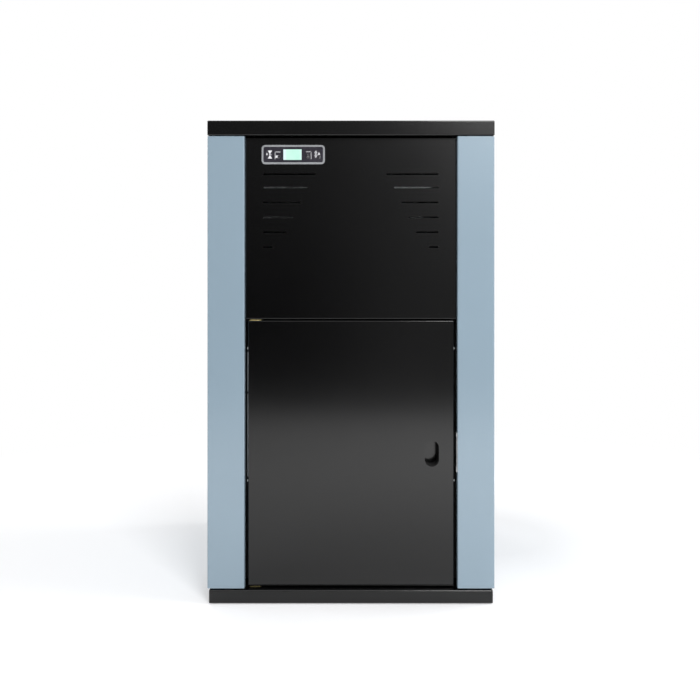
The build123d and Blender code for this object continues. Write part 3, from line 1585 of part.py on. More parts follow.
# Auger tube: pellet inlet under the hopper, drop chute to the burner, bearing boss in the closed end
auger_front_y = pot_y - auger_front_margin
auger_rear_y = hopper_centre_y + throat_length / 2 + auger_rear_margin
auger_bore = auger_tube_radius - auger_tube_wall
collar_front_y = hopper_centre_y - throat_length / 2 - auger_tube_wall
with BuildPart() as auger_tube:
    cylinder_between(
        facing_front(auger_rear_y), (0, auger_z), auger_tube_radius, auger_rear_y - auger_front_y
    )
    cylinder_between(level(body_top), (0, pot_y), chute_radius, auger_z - body_top)
    cylinder_between(level(body_top), (0, pot_y), chute_flange_radius, auger_flange_thickness)
    block(
        (-throat_width / 2 - auger_tube_wall, throat_width / 2 + auger_tube_wall),
        (collar_front_y, hopper_centre_y + throat_length / 2 + auger_tube_wall),
        (auger_z, throat_top_z),
    )
    block(
        (-auger_flange_size / 2, auger_flange_size / 2),
        (auger_rear_y - auger_flange_thickness, auger_rear_y),
        (auger_z - auger_flange_size / 2, auger_z + auger_flange_size / 2),
    )
    cylinder_between(
        facing_front(auger_rear_y),
        (0, auger_z),
        auger_bore,
        auger_rear_y - auger_front_y - auger_cap,
        Mode.SUBTRACT,
    )
    cylinder_between(
        level(body_top), (0, pot_y), chute_radius - chute_wall, auger_z - body_top, Mode.SUBTRACT
    )
    block(
        (-throat_width / 2, throat_width / 2),
        (hopper_centre_y - throat_length / 2, hopper_centre_y + throat_length / 2),
        (auger_z, throat_top_z),
        mode=Mode.SUBTRACT,
    )
    cylinder_between(
        facing_front(auger_front_y + auger_cap + auger_boss_length),
        (0, auger_z),
        auger_boss_radius,
        auger_boss_length,
    )
    cylinder_between(
        facing_front(auger_front_y + auger_cap + auger_boss_length),
        (0, auger_z),
        auger_shaft_radius + pin_clearance,
        auger_boss_length,
        Mode.SUBTRACT,
    )

# The tube's weld seams: chute, closed end, the length to the inlet collar, then the collar and flange
tube_x = (-auger_flange_size / 2, auger_flange_size / 2)
tube_z = (auger_z - auger_flange_size / 2, throat_top_z)
cut_at_seams(
    auger_tube,
    [
        (
            (-chute_flange_radius, chute_flange_radius),
            (pot_y - chute_flange_radius, pot_y + chute_flange_radius),
            (body_top, auger_z - auger_tube_radius),
        ),
        (tube_x, (auger_front_y, auger_front_y + auger_cap + auger_boss_length), tube_z),
        (tube_x, (auger_front_y + auger_cap + auger_boss_length, collar_front_y), tube_z),
        (
            tube_x,
            (auger_rear_y - auger_flange_thickness, auger_rear_y),
            (auger_z - auger_flange_size / 2, auger_z + auger_flange_size / 2),
        ),
    ],
    "auger_tube",
)

# Auger screw: a shaft with one continuous helical flight
shaft_front_y = auger_front_y + auger_cap + seat_gap
shaft_rear_y = auger_rear_y + gearbox_socket - seat_gap
flight_front_y = auger_front_y + auger_cap + auger_boss_length + auger_flight_thickness
flight_length = auger_rear_y - flight_front_y - 2 * auger_flight_thickness
flight_root = auger_shaft_radius - flight_sink
with BuildPart() as auger_screw:
    cylinder_between(
        facing_front(shaft_rear_y), (0, auger_z), auger_shaft_radius, shaft_rear_y - shaft_front_y
    )
    flight_axis = Location((0, flight_front_y + flight_length, auger_z), (90, 0, 0))
    with BuildLine(mode=Mode.PRIVATE) as turns:
        Helix(pitch=auger_pitch, height=flight_length, radius=(flight_root + auger_flight_radius) / 2)
    helix_path = turns.line.moved(flight_axis)
    with BuildSketch(
        Plane(origin=helix_path @ 0, x_dir=Vector(1, 0, 0), z_dir=helix_path % 0)
    ) as flight_section:
        Rectangle(auger_flight_radius - flight_root, auger_flight_thickness)
    sweep(flight_section.sketch, path=helix_path, is_frenet=True)
finish(auger_screw, "auger_screw")

# Feed gearmotor: gearbox bolted to the tube's rear flange with a finned motor behind it
gearbox_back_y = auger_rear_y + gearbox_length
with BuildPart() as feed_gearmotor:
    with BuildSketch(facing_front(gearbox_back_y)):
        with Locations((0, auger_z)):
            RectangleRounded(gearbox_size, gearbox_size, gearbox_corner)
    extrude(amount=gearbox_length)
    cylinder_between(
        facing_front(gearbox_back_y + feed_motor_length), (0, auger_z), feed_motor_radius, feed_motor_length
    )
    chamfer(feed_gearmotor.edges().group_by(Axis.Y)[-1], feed_motor_radius / 8)
    for groove in range(1, feed_motor_grooves + 1):
        groove_y = gearbox_back_y + feed_motor_length * groove / (feed_motor_grooves + 1)
        with BuildSketch(facing_front(groove_y)) as ring:
            with Locations((0, auger_z)):
                Circle(feed_motor_radius)
                Circle(feed_motor_radius - groove_depth, mode=Mode.SUBTRACT)
        extrude(ring.sketch, amount=groove_width, mode=Mode.SUBTRACT)
    cylinder_between(
        facing_front(auger_rear_y + gearbox_socket),
        (0, auger_z),
        auger_shaft_radius + pin_clearance,
        gearbox_socket,
        Mode.SUBTRACT,
    )
finish(feed_gearmotor, "feed_gearmotor")

# Smoke box: a sheet box on the body's flue port that leads the smoke to the fan at its right
smoke_left_x = flue_port_x - smoke_box_half_width
smoke_right_x = flue_port_x + smoke_box_half_width
smoke_low_z = body_bottom + smoke_box_floor
smoke_high_z = smoke_low_z + smoke_box_height
with BuildPart() as smoke_box:
    block(
        (smoke_left_x, smoke_right_x),
        (body_back_y, body_back_y + smoke_box_depth),
        (smoke_low_z, smoke_high_z),
    )
    fillet(smoke_box.faces().sort_by(Axis.Y)[-1].edges(), fold_radius)
    offset(amount=-duct_sheet, openings=smoke_box.faces().sort_by(Axis.Y)[0])
    cylinder_between(
        facing_right(smoke_right_x - 2 * duct_sheet),
        (fan_y, fan_z),
        fan_inlet_radius,
        3 * duct_sheet,
        Mode.SUBTRACT,
    )
finish(smoke_box, "smoke_box")


def volute_outline(shrink):
    """Side view of the fan housing: a growing spiral that ends in a straight outlet to the rear."""
    points = []
    for step in range(volute_steps):
        share = step / (volute_steps - 1)
        angle = radians(volute_tongue_angle + (volute_end_angle - volute_tongue_angle) * share)
        radius = volute_start_radius + (volute_end_radius - volute_start_radius) * share - shrink
        points.append((fan_y + radius * cos(angle), fan_z + radius * sin(angle)))
    outlet_y = body_back_y + fan_outlet_depth
    with BuildLine() as outline:
        Spline(*points)
        Polyline(points[-1], (outlet_y, points[-1][1]), (outlet_y, points[0][1]), points[0])
    make_face(outline.edges())


fan_left_x = smoke_right_x
fan_right_x = fan_left_x + fan_width
outlet_y = body_back_y + fan_outlet_depth

# Fan housing: spiral casing with an inlet on the smoke box side and a tangential outlet
with BuildPart() as fan_housing:
    with BuildSketch(facing_right(fan_left_x)):
        volute_outline(0.0)
    extrude(amount=fan_width)
    with BuildSketch(facing_right(fan_left_x + duct_sheet)):
        volute_outline(duct_sheet)
    extrude(amount=fan_width - 2 * duct_sheet, mode=Mode.SUBTRACT)
    cylinder_between(
        facing_right(fan_left_x), (fan_y, fan_z), fan_inlet_radius, duct_sheet, Mode.SUBTRACT
    )
    cylinder_between(
        facing_right(fan_right_x - duct_sheet), (fan_y, fan_z), shaft_hole_radius, duct_sheet, Mode.SUBTRACT
    )
finish(fan_housing, "fan_housing")

# Fan impeller: hub and back plate with leaning blades, on the motor's shaft
impeller_plate_x = fan_right_x - duct_sheet - impeller_plate_gap - impeller_plate
blade_span = impeller_radius - impeller_inner_radius
with BuildPart() as fan_impeller:
    cylinder_between(
        facing_right(impeller_plate_x), (fan_y, fan_z), impeller_radius, impeller_plate
    )
    with BuildSketch(facing_right(impeller_plate_x - impeller_blade_width)) as blades:
        with Locations((fan_y, fan_z)):
            with PolarLocations((impeller_inner_radius + impeller_radius) / 2, impeller_blades):
                Rectangle(blade_span, impeller_blade_thickness, rotation=impeller_lean)
    extrude(blades.sketch, amount=impeller_blade_width)
    cylinder_between(
        facing_right(impeller_plate_x - impeller_blade_width / 2),
        (fan_y, fan_z),
        impeller_hub_radius,
        impeller_blade_width / 2 + impeller_plate,
    )
    cylinder_between(
        facing_right(impeller_plate_x),
        (fan_y, fan_z),
        fan_shaft_radius,
        fan_right_x + fan_motor_flange + fan_shaft_socket - seat_gap - impeller_plate_x,
    )
finish(fan_impeller, "fan_impeller")

# Fan motor: flange on the housing, ribbed can with a domed end
with BuildPart() as fan_motor:
    cylinder_between(facing_right(fan_right_x), (fan_y, fan_z), fan_motor_flange_radius, fan_motor_flange)
    cylinder_between(facing_right(fan_right_x), (fan_y, fan_z), fan_motor_radius, fan_motor_length)
    fillet(fan_motor.edges().group_by(Axis.X)[-1], fan_motor_radius / 5)
    cylinder_between(
        facing_right(fan_right_x),
        (fan_y, fan_z),
        fan_shaft_radius + pin_clearance,
        fan_motor_flange + fan_shaft_socket,
        Mode.SUBTRACT,
    )
finish(fan_motor, "fan_motor")

# Flue collar: flange on the fan's outlet and the round spigot for the flue pipe
with BuildPart() as flue_collar:
    with BuildSketch(facing_front(outlet_y + flue_flange_thickness)):
        with Locations((flue_x, flue_z)):
            RectangleRounded(flue_flange, flue_flange, fold_radius)
    extrude(amount=flue_flange_thickness)
    spigot_length = reach_y - outlet_y - flue_flange_thickness
    cylinder_between(facing_front(reach_y), (flue_x, flue_z), flue_radius, spigot_length)
    cylinder_between(
        facing_front(reach_y), (flue_x, flue_z), flue_radius - flue_wall, spigot_length, Mode.SUBTRACT
    )
    block(
        (fan_left_x + duct_sheet, fan_right_x - duct_sheet),
        (outlet_y, outlet_y + flue_flange_thickness),
        (outlet_low_z + duct_sheet, outlet_high_z - duct_sheet),
        mode=Mode.SUBTRACT,
    )
collar_half = flue_flange / 2
cut_at_seams(
    flue_collar,
    [
        (
            (flue_x - collar_half, flue_x + collar_half),
            (outlet_y, outlet_y + flue_flange_thickness),
            (flue_z - collar_half, flue_z + collar_half),
        )
    ],
    "flue_collar",
)

# Air intake pipe, from the rear cover to the body's air port
with BuildPart() as air_intake_pipe:
    cylinder_between(
        facing_front(reach_y - cover_hole_clearance),
        (0, air_port_z),
        air_pipe_radius,
        reach_y - cover_hole_clearance - body_back_y,
    )
    cylinder_between(
        facing_front(body_back_y + flue_flange_thickness),
        (0, air_port_z),
        air_pipe_radius + 2 * cover_hole_clearance,
        flue_flange_thickness,
    )
    cylinder_between(
        facing_front(reach_y - cover_hole_clearance),
        (0, air_port_z),
        air_pipe_radius - air_pipe_wall,
        reach_y - cover_hole_clearance - body_back_y,
        Mode.SUBTRACT,
    )
finish(air_intake_pipe, "air_intake_pipe")


def water_pipe(x, z, y_low, y_high, nut_y):
    """Straight pipe along Y with a union nut whose rear face is at nut_y."""
    cylinder_between(facing_front(y_high), (x, z), pipe_radius, y_high - y_low)
    with BuildSketch(facing_front(nut_y)) as nut:
        with Locations((x, z)):
            RegularPolygon(pipe_nut_width / 2, 6)
    extrude(nut.sketch, amount=pipe_nut_length)
    cylinder_between(facing_front(y_high), (x, z), pipe_bore, y_high - y_low, Mode.SUBTRACT)


pipe_end_y = reach_y - cover_hole_clearance
valve_y = body_back_y + safety_valve_distance
valve_low_z = flow_z + tee_radius

# Flow pipe, from the top of the water space to the rear, with a tee under the safety valve
with BuildPart() as flow_pipe:
    cylinder_between(facing_front(valve_y + tee_length / 2), (flow_x, flow_z), tee_radius, tee_length)
    water_pipe(flow_x, flow_z, body_back_y, pipe_end_y, body_back_y + 3 * pipe_nut_length)
finish(flow_pipe, "flow_pipe")

# Return pipe, in two lengths before and behind the circulation pump
pump_front_y = body_back_y + pump_start
pump_back_y = pump_front_y + pump_length
with BuildPart() as return_pipe:
    water_pipe(return_x, return_z, body_back_y, pump_front_y, pump_front_y)
    water_pipe(return_x, return_z, pump_back_y, pipe_end_y, pump_back_y + pipe_nut_length)
finish(return_pipe, "return_pipe")

# Circulation pump: inline body with its motor to the left and a terminal box on the motor
pump_y = (pump_front_y + pump_back_y) / 2
with BuildPart() as circulation_pump:
    cylinder_between(facing_front(pump_back_y), (return_x, return_z), pipe_radius, pump_length)
    cylinder_between(
        facing_right(return_x + pump_body_length / 2),
        (pump_y, return_z),
        pump_body_radius,
        -pump_body_length,
    )
    cylinder_between(
        facing_right(return_x - pump_body_length / 2),
        (pump_y, return_z),
        pump_motor_radius,
        -pump_motor_length,
    )
    chamfer(circulation_pump.edges().group_by(Axis.X)[0], pump_motor_radius / 5)
    box_left_x = return_x - pump_body_length / 2 - pump_motor_length + pump_box_inset
    block(
        (box_left_x, box_left_x + pump_box_size),
        (pump_y - pump_box_size / 2, pump_y + pump_box_size / 2),
        (return_z, return_z + pump_motor_radius + pump_box_depth),
    )
    cylinder_between(
        facing_front(pump_back_y), (return_x, return_z), pipe_bore, pump_length, Mode.SUBTRACT
    )
finish(circulation_pump, "circulation_pump")

# Safety valve on the flow pipe: body, bonnet and ribbed cap
with BuildPart() as safety_valve:
    cylinder_between(level(valve_low_z), (flow_x, valve_y), safety_valve_radius, safety_valve_height)
    with BuildSketch(level(valve_low_z + safety_valve_height / 3)):
        with Locations((flow_x, valve_y)):
            RegularPolygon(safety_nut_radius, 6)
    extrude(amount=safety_valve_height / 6)
    cylinder_between(
        level(valve_low_z + safety_valve_height), (flow_x, valve_y), safety_cap_radius, safety_cap_height
    )
    chamfer(safety_valve.edges().group_by(Axis.Z)[-1], safety_cap_radius / 6)
finish(safety_valve, "safety_valve")

# Expansion vessel: a flat pressed drum hung on the lower side rail by its boss
rail_inner_x = side_inner_x - frame_sheet - rail_thickness
vessel_depth = (
    rail_inner_x - vessel_boss_length - body_half_width - insulation_thickness - vessel_clearance
)
with BuildPart() as expansion_vessel:
    cylinder_between(
        facing_right(-rail_inner_x + vessel_boss_length),
        (vessel_centre_y, lower_rail_z),
        vessel_radius,
        vessel_depth,
    )
    fillet(expansion_vessel.edges().filter_by(GeomType.CIRCLE), vessel_edge_share * vessel_depth)
    cylinder_between(
        facing_right(-rail_inner_x),
        (vessel_centre_y, lower_rail_z),
        vessel_boss_radius,
        2 * vessel_boss_length,
    )
finish(expansion_vessel, "expansion_vessel")

# Control unit on the upper right side rail, with a row of cable glands below
with BuildPart() as control_unit:
    block(
        (rail_inner_x - unit_depth, rail_inner_x),
        (unit_front_y, unit_front_y + unit_length),
        (upper_rail_z - unit_height / 2, upper_rail_z + unit_height / 2),
    )
    fillet(control_unit.faces().sort_by(Axis.X)[0].edges(), unit_corner)
    with BuildSketch(level(upper_rail_z - unit_height / 2)):
        with Locations((rail_inner_x - unit_depth / 2, unit_front_y + unit_length / 2)):
            with GridLocations(gland_pitch, gland_pitch, 1, gland_count):
                RegularPolygon(gland_radius, 6)
    extrude(amount=-gland_length)
finish(control_unit, "control_unit")

# Mains inlet: three-pin socket and a switch well in one moulding on the rear cover
inlet_face_y = rear_y + inlet_plate_thickness
socket_z = inlet_z - socket_drop
rocker_z = inlet_z + rocker_rise
with BuildPart() as mains_inlet:
    with BuildSketch(facing_front(inlet_face_y)):
        with Locations((inlet_x, inlet_z)):
            RectangleRounded(inlet_plate_width, inlet_plate_height, fold_radius)
    extrude(amount=inlet_plate_thickness)
    fillet(mains_inlet.faces().sort_by(Axis.Y)[-1].edges(), inlet_plate_thickness / 3)
    with BuildSketch(facing_front(rear_y)):
        with Locations((inlet_x, inlet_z)):
            Rectangle(inlet_body_width, inlet_body_height)
    extrude(amount=inlet_body_depth)
    with BuildSketch(facing_front(inlet_face_y)):
        with Locations((inlet_x, socket_z)):
            RectangleRounded(socket_width, socket_height, socket_corner)
    extrude(amount=socket_depth, mode=Mode.SUBTRACT)
    with BuildSketch(facing_front(inlet_face_y - socket_depth + contact_length)):
        for shift, rise in (
            (-contact_pitch, -contact_rise),
            (0.0, contact_rise),
            (contact_pitch, -contact_rise),
        ):
            with Locations((inlet_x + shift, socket_z + rise)):
                Rectangle(contact_width, 2 * contact_width)
    extrude(amount=contact_length)
    with BuildSketch(facing_front(inlet_face_y)):
        with Locations((inlet_x, rocker_z)):
            Rectangle(rocker_width + 2 * rocker_gap, rocker_height + 2 * rocker_gap)
    extrude(amount=rocker_well_depth, mode=Mode.SUBTRACT)
    for side in (-1, 1):
        cylinder_between(
            facing_right(inlet_x + side * (rocker_width / 2 + rocker_gap)),
            (inlet_face_y - rocker_drop, rocker_z),
            rocker_pin_radius,
            -side * (rocker_gap + rocker_pin_radius),
        )
finish(mains_inlet, "mains_inlet")

# Mains switch: a V-faced rocker on two stub pins, pressed at its bottom at rest
rocker_half_height = rocker_height / 2 - rocker_gap
with BuildPart() as mains_switch:
    with BuildSketch(facing_right(inlet_x - rocker_width / 2)) as rocker:
        with BuildLine():
            Polyline(
                (rocker_proud + rocker_drop, -rocker_half_height),
                (rocker_proud + rocker_drop - rocker_dish, 0.0),
                (rocker_proud + rocker_drop, rocker_half_height),
                (rocker_drop / 2, rocker_half_height),
                (-rocker_keel, rocker_height / 6),
                (-rocker_keel, -rocker_height / 6),
                (rocker_drop / 2, -rocker_half_height),
                close=True,
            )
        make_face()
    extrude(amount=rocker_width)
rocker_rest = Location((0, inlet_face_y - rocker_drop, rocker_z)) * Location((0, 0, 0), (-rocker_tilt, 0, 0))
with BuildPart() as tilted_switch:
    add(mains_switch.part.moved(rocker_rest))
    for side in (-1, 1):
        cylinder_between(
            facing_right(inlet_x + side * rocker_width / 2),
            (inlet_face_y - rocker_drop, rocker_z),
            rocker_pin_radius + pin_clearance,
            -side * (rocker_pin_radius + seat_gap),
            Mode.SUBTRACT,
        )
finish(tilted_switch, "mains_switch")
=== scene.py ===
import math

import bmesh
import bpy
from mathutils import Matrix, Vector


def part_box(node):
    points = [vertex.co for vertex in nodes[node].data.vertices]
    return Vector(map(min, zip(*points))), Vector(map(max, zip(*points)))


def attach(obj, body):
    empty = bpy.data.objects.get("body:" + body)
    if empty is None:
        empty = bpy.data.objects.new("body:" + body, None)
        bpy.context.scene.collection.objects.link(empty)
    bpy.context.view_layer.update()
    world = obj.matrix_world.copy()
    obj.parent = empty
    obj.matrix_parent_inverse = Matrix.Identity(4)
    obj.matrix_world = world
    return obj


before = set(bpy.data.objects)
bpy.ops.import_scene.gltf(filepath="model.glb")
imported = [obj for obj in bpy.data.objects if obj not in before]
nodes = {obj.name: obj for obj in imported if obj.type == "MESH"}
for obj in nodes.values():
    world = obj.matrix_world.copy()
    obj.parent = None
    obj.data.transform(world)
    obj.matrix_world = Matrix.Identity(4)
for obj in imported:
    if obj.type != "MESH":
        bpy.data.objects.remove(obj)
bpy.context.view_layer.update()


# Places and sizes in metres

DISPLAY_LEFT, DISPLAY_RIGHT = -0.1708, -0.1248
INK_DEPTH = 0.00006
INK_GAP = 0.00001
THIN_STROKE = 0.0012
FLOOR_CORNERS = ((-9, -3.45, 0), (9, -3.45, 0), (9, 12, 0), (-9, 12, 0))
FLOOR_DROP = 0.0002
# Middle of the painted shade on the floor beside the object's right side
PAINTED_SHADE_MIDDLE = (0.42, 0.2, 0.0)
CAMERA_PLACE = (0.0, -2.375, 0.7807)
FAR_CLIP = 60.0


# The photograph's lens, with its shift as a share of the picture's width

LENS_MM, SENSOR_MM = 41.12, 36.0
CAMERA_SHIFT = (-0.00136, -0.0829)


# Colour, and the stretches that draw noise out into lines along one axis

WHITE = (1, 1, 1, 1)
LINES_ALONG_X = (0.05, 1, 1)
LINES_ALONG_Y = (1, 0.05, 1)
LINES_ALONG_Z = (1, 1, 0.05)


# Sockets of a colour mix node, by number because several share a name

MIX_FACTOR, MIX_FIRST_COLOUR, MIX_SECOND_COLOUR, MIX_COLOUR_OUT = 0, 6, 7, 2


# Node helpers

def material(name):
    """New node material: its tree, its shader and the object's coordinates in metres."""
    made = bpy.data.materials.new(name)
    made.use_nodes = True
    tree = made.node_tree
    shader = tree.nodes["Principled BSDF"]
    place = tree.nodes.new("ShaderNodeTexCoord").outputs["Object"]
    return made, tree, shader, place


def grey(level):
    return level, level, level


def shade(colour, factor):
    return tuple(min(1.0, channel * factor) for channel in colour)


def mapped(tree, place, setting, value):
    """Coordinates after a mapping node with one setting changed."""
    node = tree.nodes.new("ShaderNodeMapping")
    node.inputs[setting].default_value = value
    tree.links.new(place, node.inputs["Vector"])
    return node.outputs["Vector"]


def axes(tree, vector):
    """X, Y and Z of a vector, by name."""
    node = tree.nodes.new("ShaderNodeSeparateXYZ")
    tree.links.new(vector, node.inputs["Vector"])
    return node.outputs


def noise(tree, place, scale, detail=3.0, roughness=0.55, stretch=None):
    """Noise at a scale in features a metre, stretched along an axis where asked."""
    if stretch is not None:
        place = mapped(tree, place, "Scale", stretch)
    texture = tree.nodes.new("ShaderNodeTexNoise")
    texture.inputs["Scale"].default_value = scale
    texture.inputs["Detail"].default_value = detail
    texture.inputs["Roughness"].default_value = roughness
    tree.links.new(place, texture.inputs["Vector"])
    return texture.outputs["Fac"]


def ramp(tree, fac, stops):
    """Colour ramp through (position, colour) stops."""
    node = tree.nodes.new("ShaderNodeValToRGB")
    elements = node.color_ramp.elements
    elements[0].position, elements[0].color = stops[0][0], (*stops[0][1], 1)
    elements[1].position, elements[1].color = stops[-1][0], (*stops[-1][1], 1)
    for position, colour in stops[1:-1]:
        element = elements.new(position)
        element.color = (*colour, 1)
    tree.links.new(fac, node.inputs["Fac"])
    return node.outputs["Color"]


def remap(tree, fac, low, high, from_low=0.3, from_high=0.7):
    """Value moved from the range from_low to from_high into low to high, and held at both ends."""
    node = tree.nodes.new("ShaderNodeMapRange")
    node.inputs["From Min"].default_value = from_low
    node.inputs["From Max"].default_value = from_high
    node.inputs["To Min"].default_value = low
    node.inputs["To Max"].default_value = high
    tree.links.new(fac, node.inputs["Value"])
    return node.outputs["Result"]


def arithmetic(tree, operation, first, second):
    """Math node on two values, each a socket or a number."""
    node = tree.nodes.new("ShaderNodeMath")
    node.operation = operation
    for socket, value in zip(node.inputs, (first, second)):
        if hasattr(value, "links"):
            tree.links.new(value, socket)
        else:
            socket.default_value = value
    return node.outputs["Value"]


def blend_colours(tree, fac, first, second, mode="MIX"):
    """Mix of two colours, each a socket or a colour."""
    node = tree.nodes.new("ShaderNodeMix")
    node.data_type = "RGBA"
    node.blend_type = mode
    for place, value in ((MIX_FACTOR, fac), (MIX_FIRST_COLOUR, first), (MIX_SECOND_COLOUR, second)):
        socket = node.inputs[place]
        if hasattr(value, "links"):
            tree.links.new(value, socket)
        elif isinstance(value, tuple):
            socket.default_value = (*value, 1)
        else:
            socket.default_value = value
    return node.outputs[MIX_COLOUR_OUT]


def add_bump(tree, shader, height, strength, distance):
    """Bump from a height, with its depth in metres."""
    node = tree.nodes.new("ShaderNodeBump")
    node.inputs["Strength"].default_value = strength
    node.inputs["Distance"].default_value = distance
    tree.links.new(height, node.inputs["Height"])
    tree.links.new(node.outputs["Normal"], shader.inputs["Normal"])


def mix_shaders(tree, fac, first, second):
    """Shader that goes from the first to the second as the factor rises."""
    node = tree.nodes.new("ShaderNodeMixShader")
    tree.links.new(fac, node.inputs["Fac"])
    tree.links.new(first, node.inputs[1])
    tree.links.new(second, node.inputs[2])
    return node.outputs["Shader"]


def matt_walls(made, roughness):
    """Adds roughness to the faces that don't look along Y, such as the walls of a moulded cup."""
    tree = made.node_tree
    shader = tree.nodes["Principled BSDF"]
    normal = tree.nodes.new("ShaderNodeTexCoord").outputs["Normal"]
    facing = arithmetic(tree, "ABSOLUTE", axes(tree, normal)["Y"], 0.0)
    smooth = shader.inputs["Roughness"].links[0].from_socket
    wall = remap(tree, facing, roughness, 0.0, 0.2, 0.9)
    tree.links.new(arithmetic(tree, "ADD", smooth, wall), shader.inputs["Roughness"])


# Materials

def paint(name, colour, roughness, spread=0.04, variation=0.06, peel=0.012, speckle=0.03, coat=0.0,
          specular=0.5):
    """Sprayed paint: broad tone drift, fine speckle, faint orange peel and handling marks."""
    made, tree, shader, place = material(name)
    broad = noise(tree, place, 3.0, 2.0)
    fine = noise(tree, place, 1400.0, 2.0)
    tone = ramp(tree, broad, [(0.3, shade(colour, 1 - variation)), (0.7, shade(colour, 1 + variation))])
    dust = ramp(tree, fine, [(0.35, shade((1, 1, 1), 1 - speckle)), (0.65, (1, 1, 1))])
    tree.links.new(blend_colours(tree, 1.0, tone, dust, "MULTIPLY"), shader.inputs["Base Color"])
    smudges = noise(tree, place, 9.0, 5.0, 0.65)
    tree.links.new(
        remap(tree, smudges, roughness - spread, roughness + spread), shader.inputs["Roughness"]
    )
    add_bump(tree, shader, noise(tree, place, 420.0, 1.0), peel, 0.0006)
    shader.inputs["Coat Weight"].default_value = coat
    shader.inputs["Coat Roughness"].default_value = roughness
    shader.inputs["Specular IOR Level"].default_value = specular
    return made


def sheet_metal(name, colour, roughness=0.35, variation=0.12, rolled=None):
    """Sheet with zinc spangle, or with the rolled grain of the given stretch, and water marks."""
    made, tree, shader, place = material(name)
    if rolled is None:
        cells = tree.nodes.new("ShaderNodeTexVoronoi")
        cells.inputs["Scale"].default_value = 90.0
        tree.links.new(place, cells.inputs["Vector"])
        pattern = tree.nodes.new("ShaderNodeSeparateColor")
        tree.links.new(cells.outputs["Color"], pattern.inputs["Color"])
        fac = pattern.outputs["Red"]
    else:
        fac = noise(tree, place, 260.0, 3.0, 0.6, rolled)
    marks = noise(tree, place, 14.0, 5.0, 0.6)
    tone = ramp(tree, fac, [(0.1, shade(colour, 1 - variation)), (0.9, shade(colour, 1 + variation))])
    stain = ramp(tree, marks, [(0.35, (0.82, 0.82, 0.81)), (0.6, (1, 1, 1))])
    tree.links.new(blend_colours(tree, 1.0, tone, stain, "MULTIPLY"), shader.inputs["Base Color"])
    shader.inputs["Metallic"].default_value = 0.9
    tree.links.new(remap(tree, fac, roughness - 0.07, roughness + 0.1, 0, 1), shader.inputs["Roughness"])
    add_bump(tree, shader, fac, 0.06, 0.0004)
    return made


def casting(name, colour, roughness, grain, depth, metallic, tint=(1.25, 1.2, 1.15)):
    """Cast or heavily coated metal: grainy skin with worn, lighter and heat-tinted patches."""
    made, tree, shader, place = material(name)
    grit = noise(tree, place, grain, 4.0, 0.6)
    patches = noise(tree, place, 16.0, 5.0, 0.6)
    tone = ramp(tree, grit, [(0.3, shade(colour, 0.75)), (0.7, shade(colour, 1.25))])
    worn = ramp(tree, patches, [(0.42, (1, 1, 1)), (0.68, tint)])
    tree.links.new(blend_colours(tree, 1.0, tone, worn, "MULTIPLY"), shader.inputs["Base Color"])
    shader.inputs["Metallic"].default_value = metallic
    tree.links.new(remap(tree, patches, roughness + 0.08, roughness - 0.1), shader.inputs["Roughness"])
    add_bump(tree, shader, grit, depth, 0.0006)
    return made


def moulding(name, colour, roughness, grain=1800.0, depth=0.12):
    """Moulded plastic: a fine spark-eroded skin with a little drift in tone."""
    made, tree, shader, place = material(name)
    grit = noise(tree, place, grain, 2.0)
    broad = noise(tree, place, 25.0, 4.0)
    tone = ramp(tree, broad, [(0.3, shade(colour, 0.92)), (0.7, shade(colour, 1.08))])
    tree.links.new(tone, shader.inputs["Base Color"])
    tree.links.new(remap(tree, broad, roughness - 0.05, roughness + 0.05), shader.inputs["Roughness"])
    add_bump(tree, shader, grit, depth, 0.0003)
    return made


def turned(name, colour, roughness, stretch):
    """Turned or drawn metal with fine tool lines along the axis that the stretch makes long."""
    made, tree, shader, place = material(name)
    lines = noise(tree, place, 900.0, 2.0, 0.5, stretch)
    dull = noise(tree, place, 30.0, 4.0, 0.6)
    tone = ramp(tree, dull, [(0.3, shade(colour, 0.82)), (0.7, shade(colour, 1.1))])
    tree.links.new(tone, shader.inputs["Base Color"])
    shader.inputs["Metallic"].default_value = 1.0
    tree.links.new(remap(tree, dull, roughness - 0.08, roughness + 0.14), shader.inputs["Roughness"])
    add_bump(tree, shader, lines, 0.12, 0.0003)
    return made


def rubber(name, colour):
    """Soft black seal with a pale bloom."""
    made, tree, shader, place = material(name)
    fine = noise(tree, place, 1200.0, 3.0)
    bloom = noise(tree, place, 40.0, 4.0)
    tone = ramp(tree, bloom, [(0.35, shade(colour, 0.8)), (0.7, shade(colour, 1.6))])
    tree.links.new(tone, shader.inputs["Base Color"])
    tree.links.new(remap(tree, bloom, 0.62, 0.82), shader.inputs["Roughness"])
    add_bump(tree, shader, fine, 0.2, 0.0003)
    return made


def foil_board(name):
    """Mineral-wool board with a creased foil face."""
    made, tree, shader, place = material(name)
    creases = noise(tree, place, 22.0, 6.0, 0.7)
    weave = noise(tree, place, 500.0, 2.0)
    tone = ramp(tree, creases, [(0.3, (0.42, 0.42, 0.41)), (0.7, (0.66, 0.66, 0.65))])
    tree.links.new(tone, shader.inputs["Base Color"])
    shader.inputs["Metallic"].default_value = 0.75
    tree.links.new(remap(tree, creases, 0.3, 0.5), shader.inputs["Roughness"])
    height = arithmetic(tree, "ADD", creases, arithmetic(tree, "MULTIPLY", weave, 0.12))
    add_bump(tree, shader, height, 0.5, 0.004)
    return made


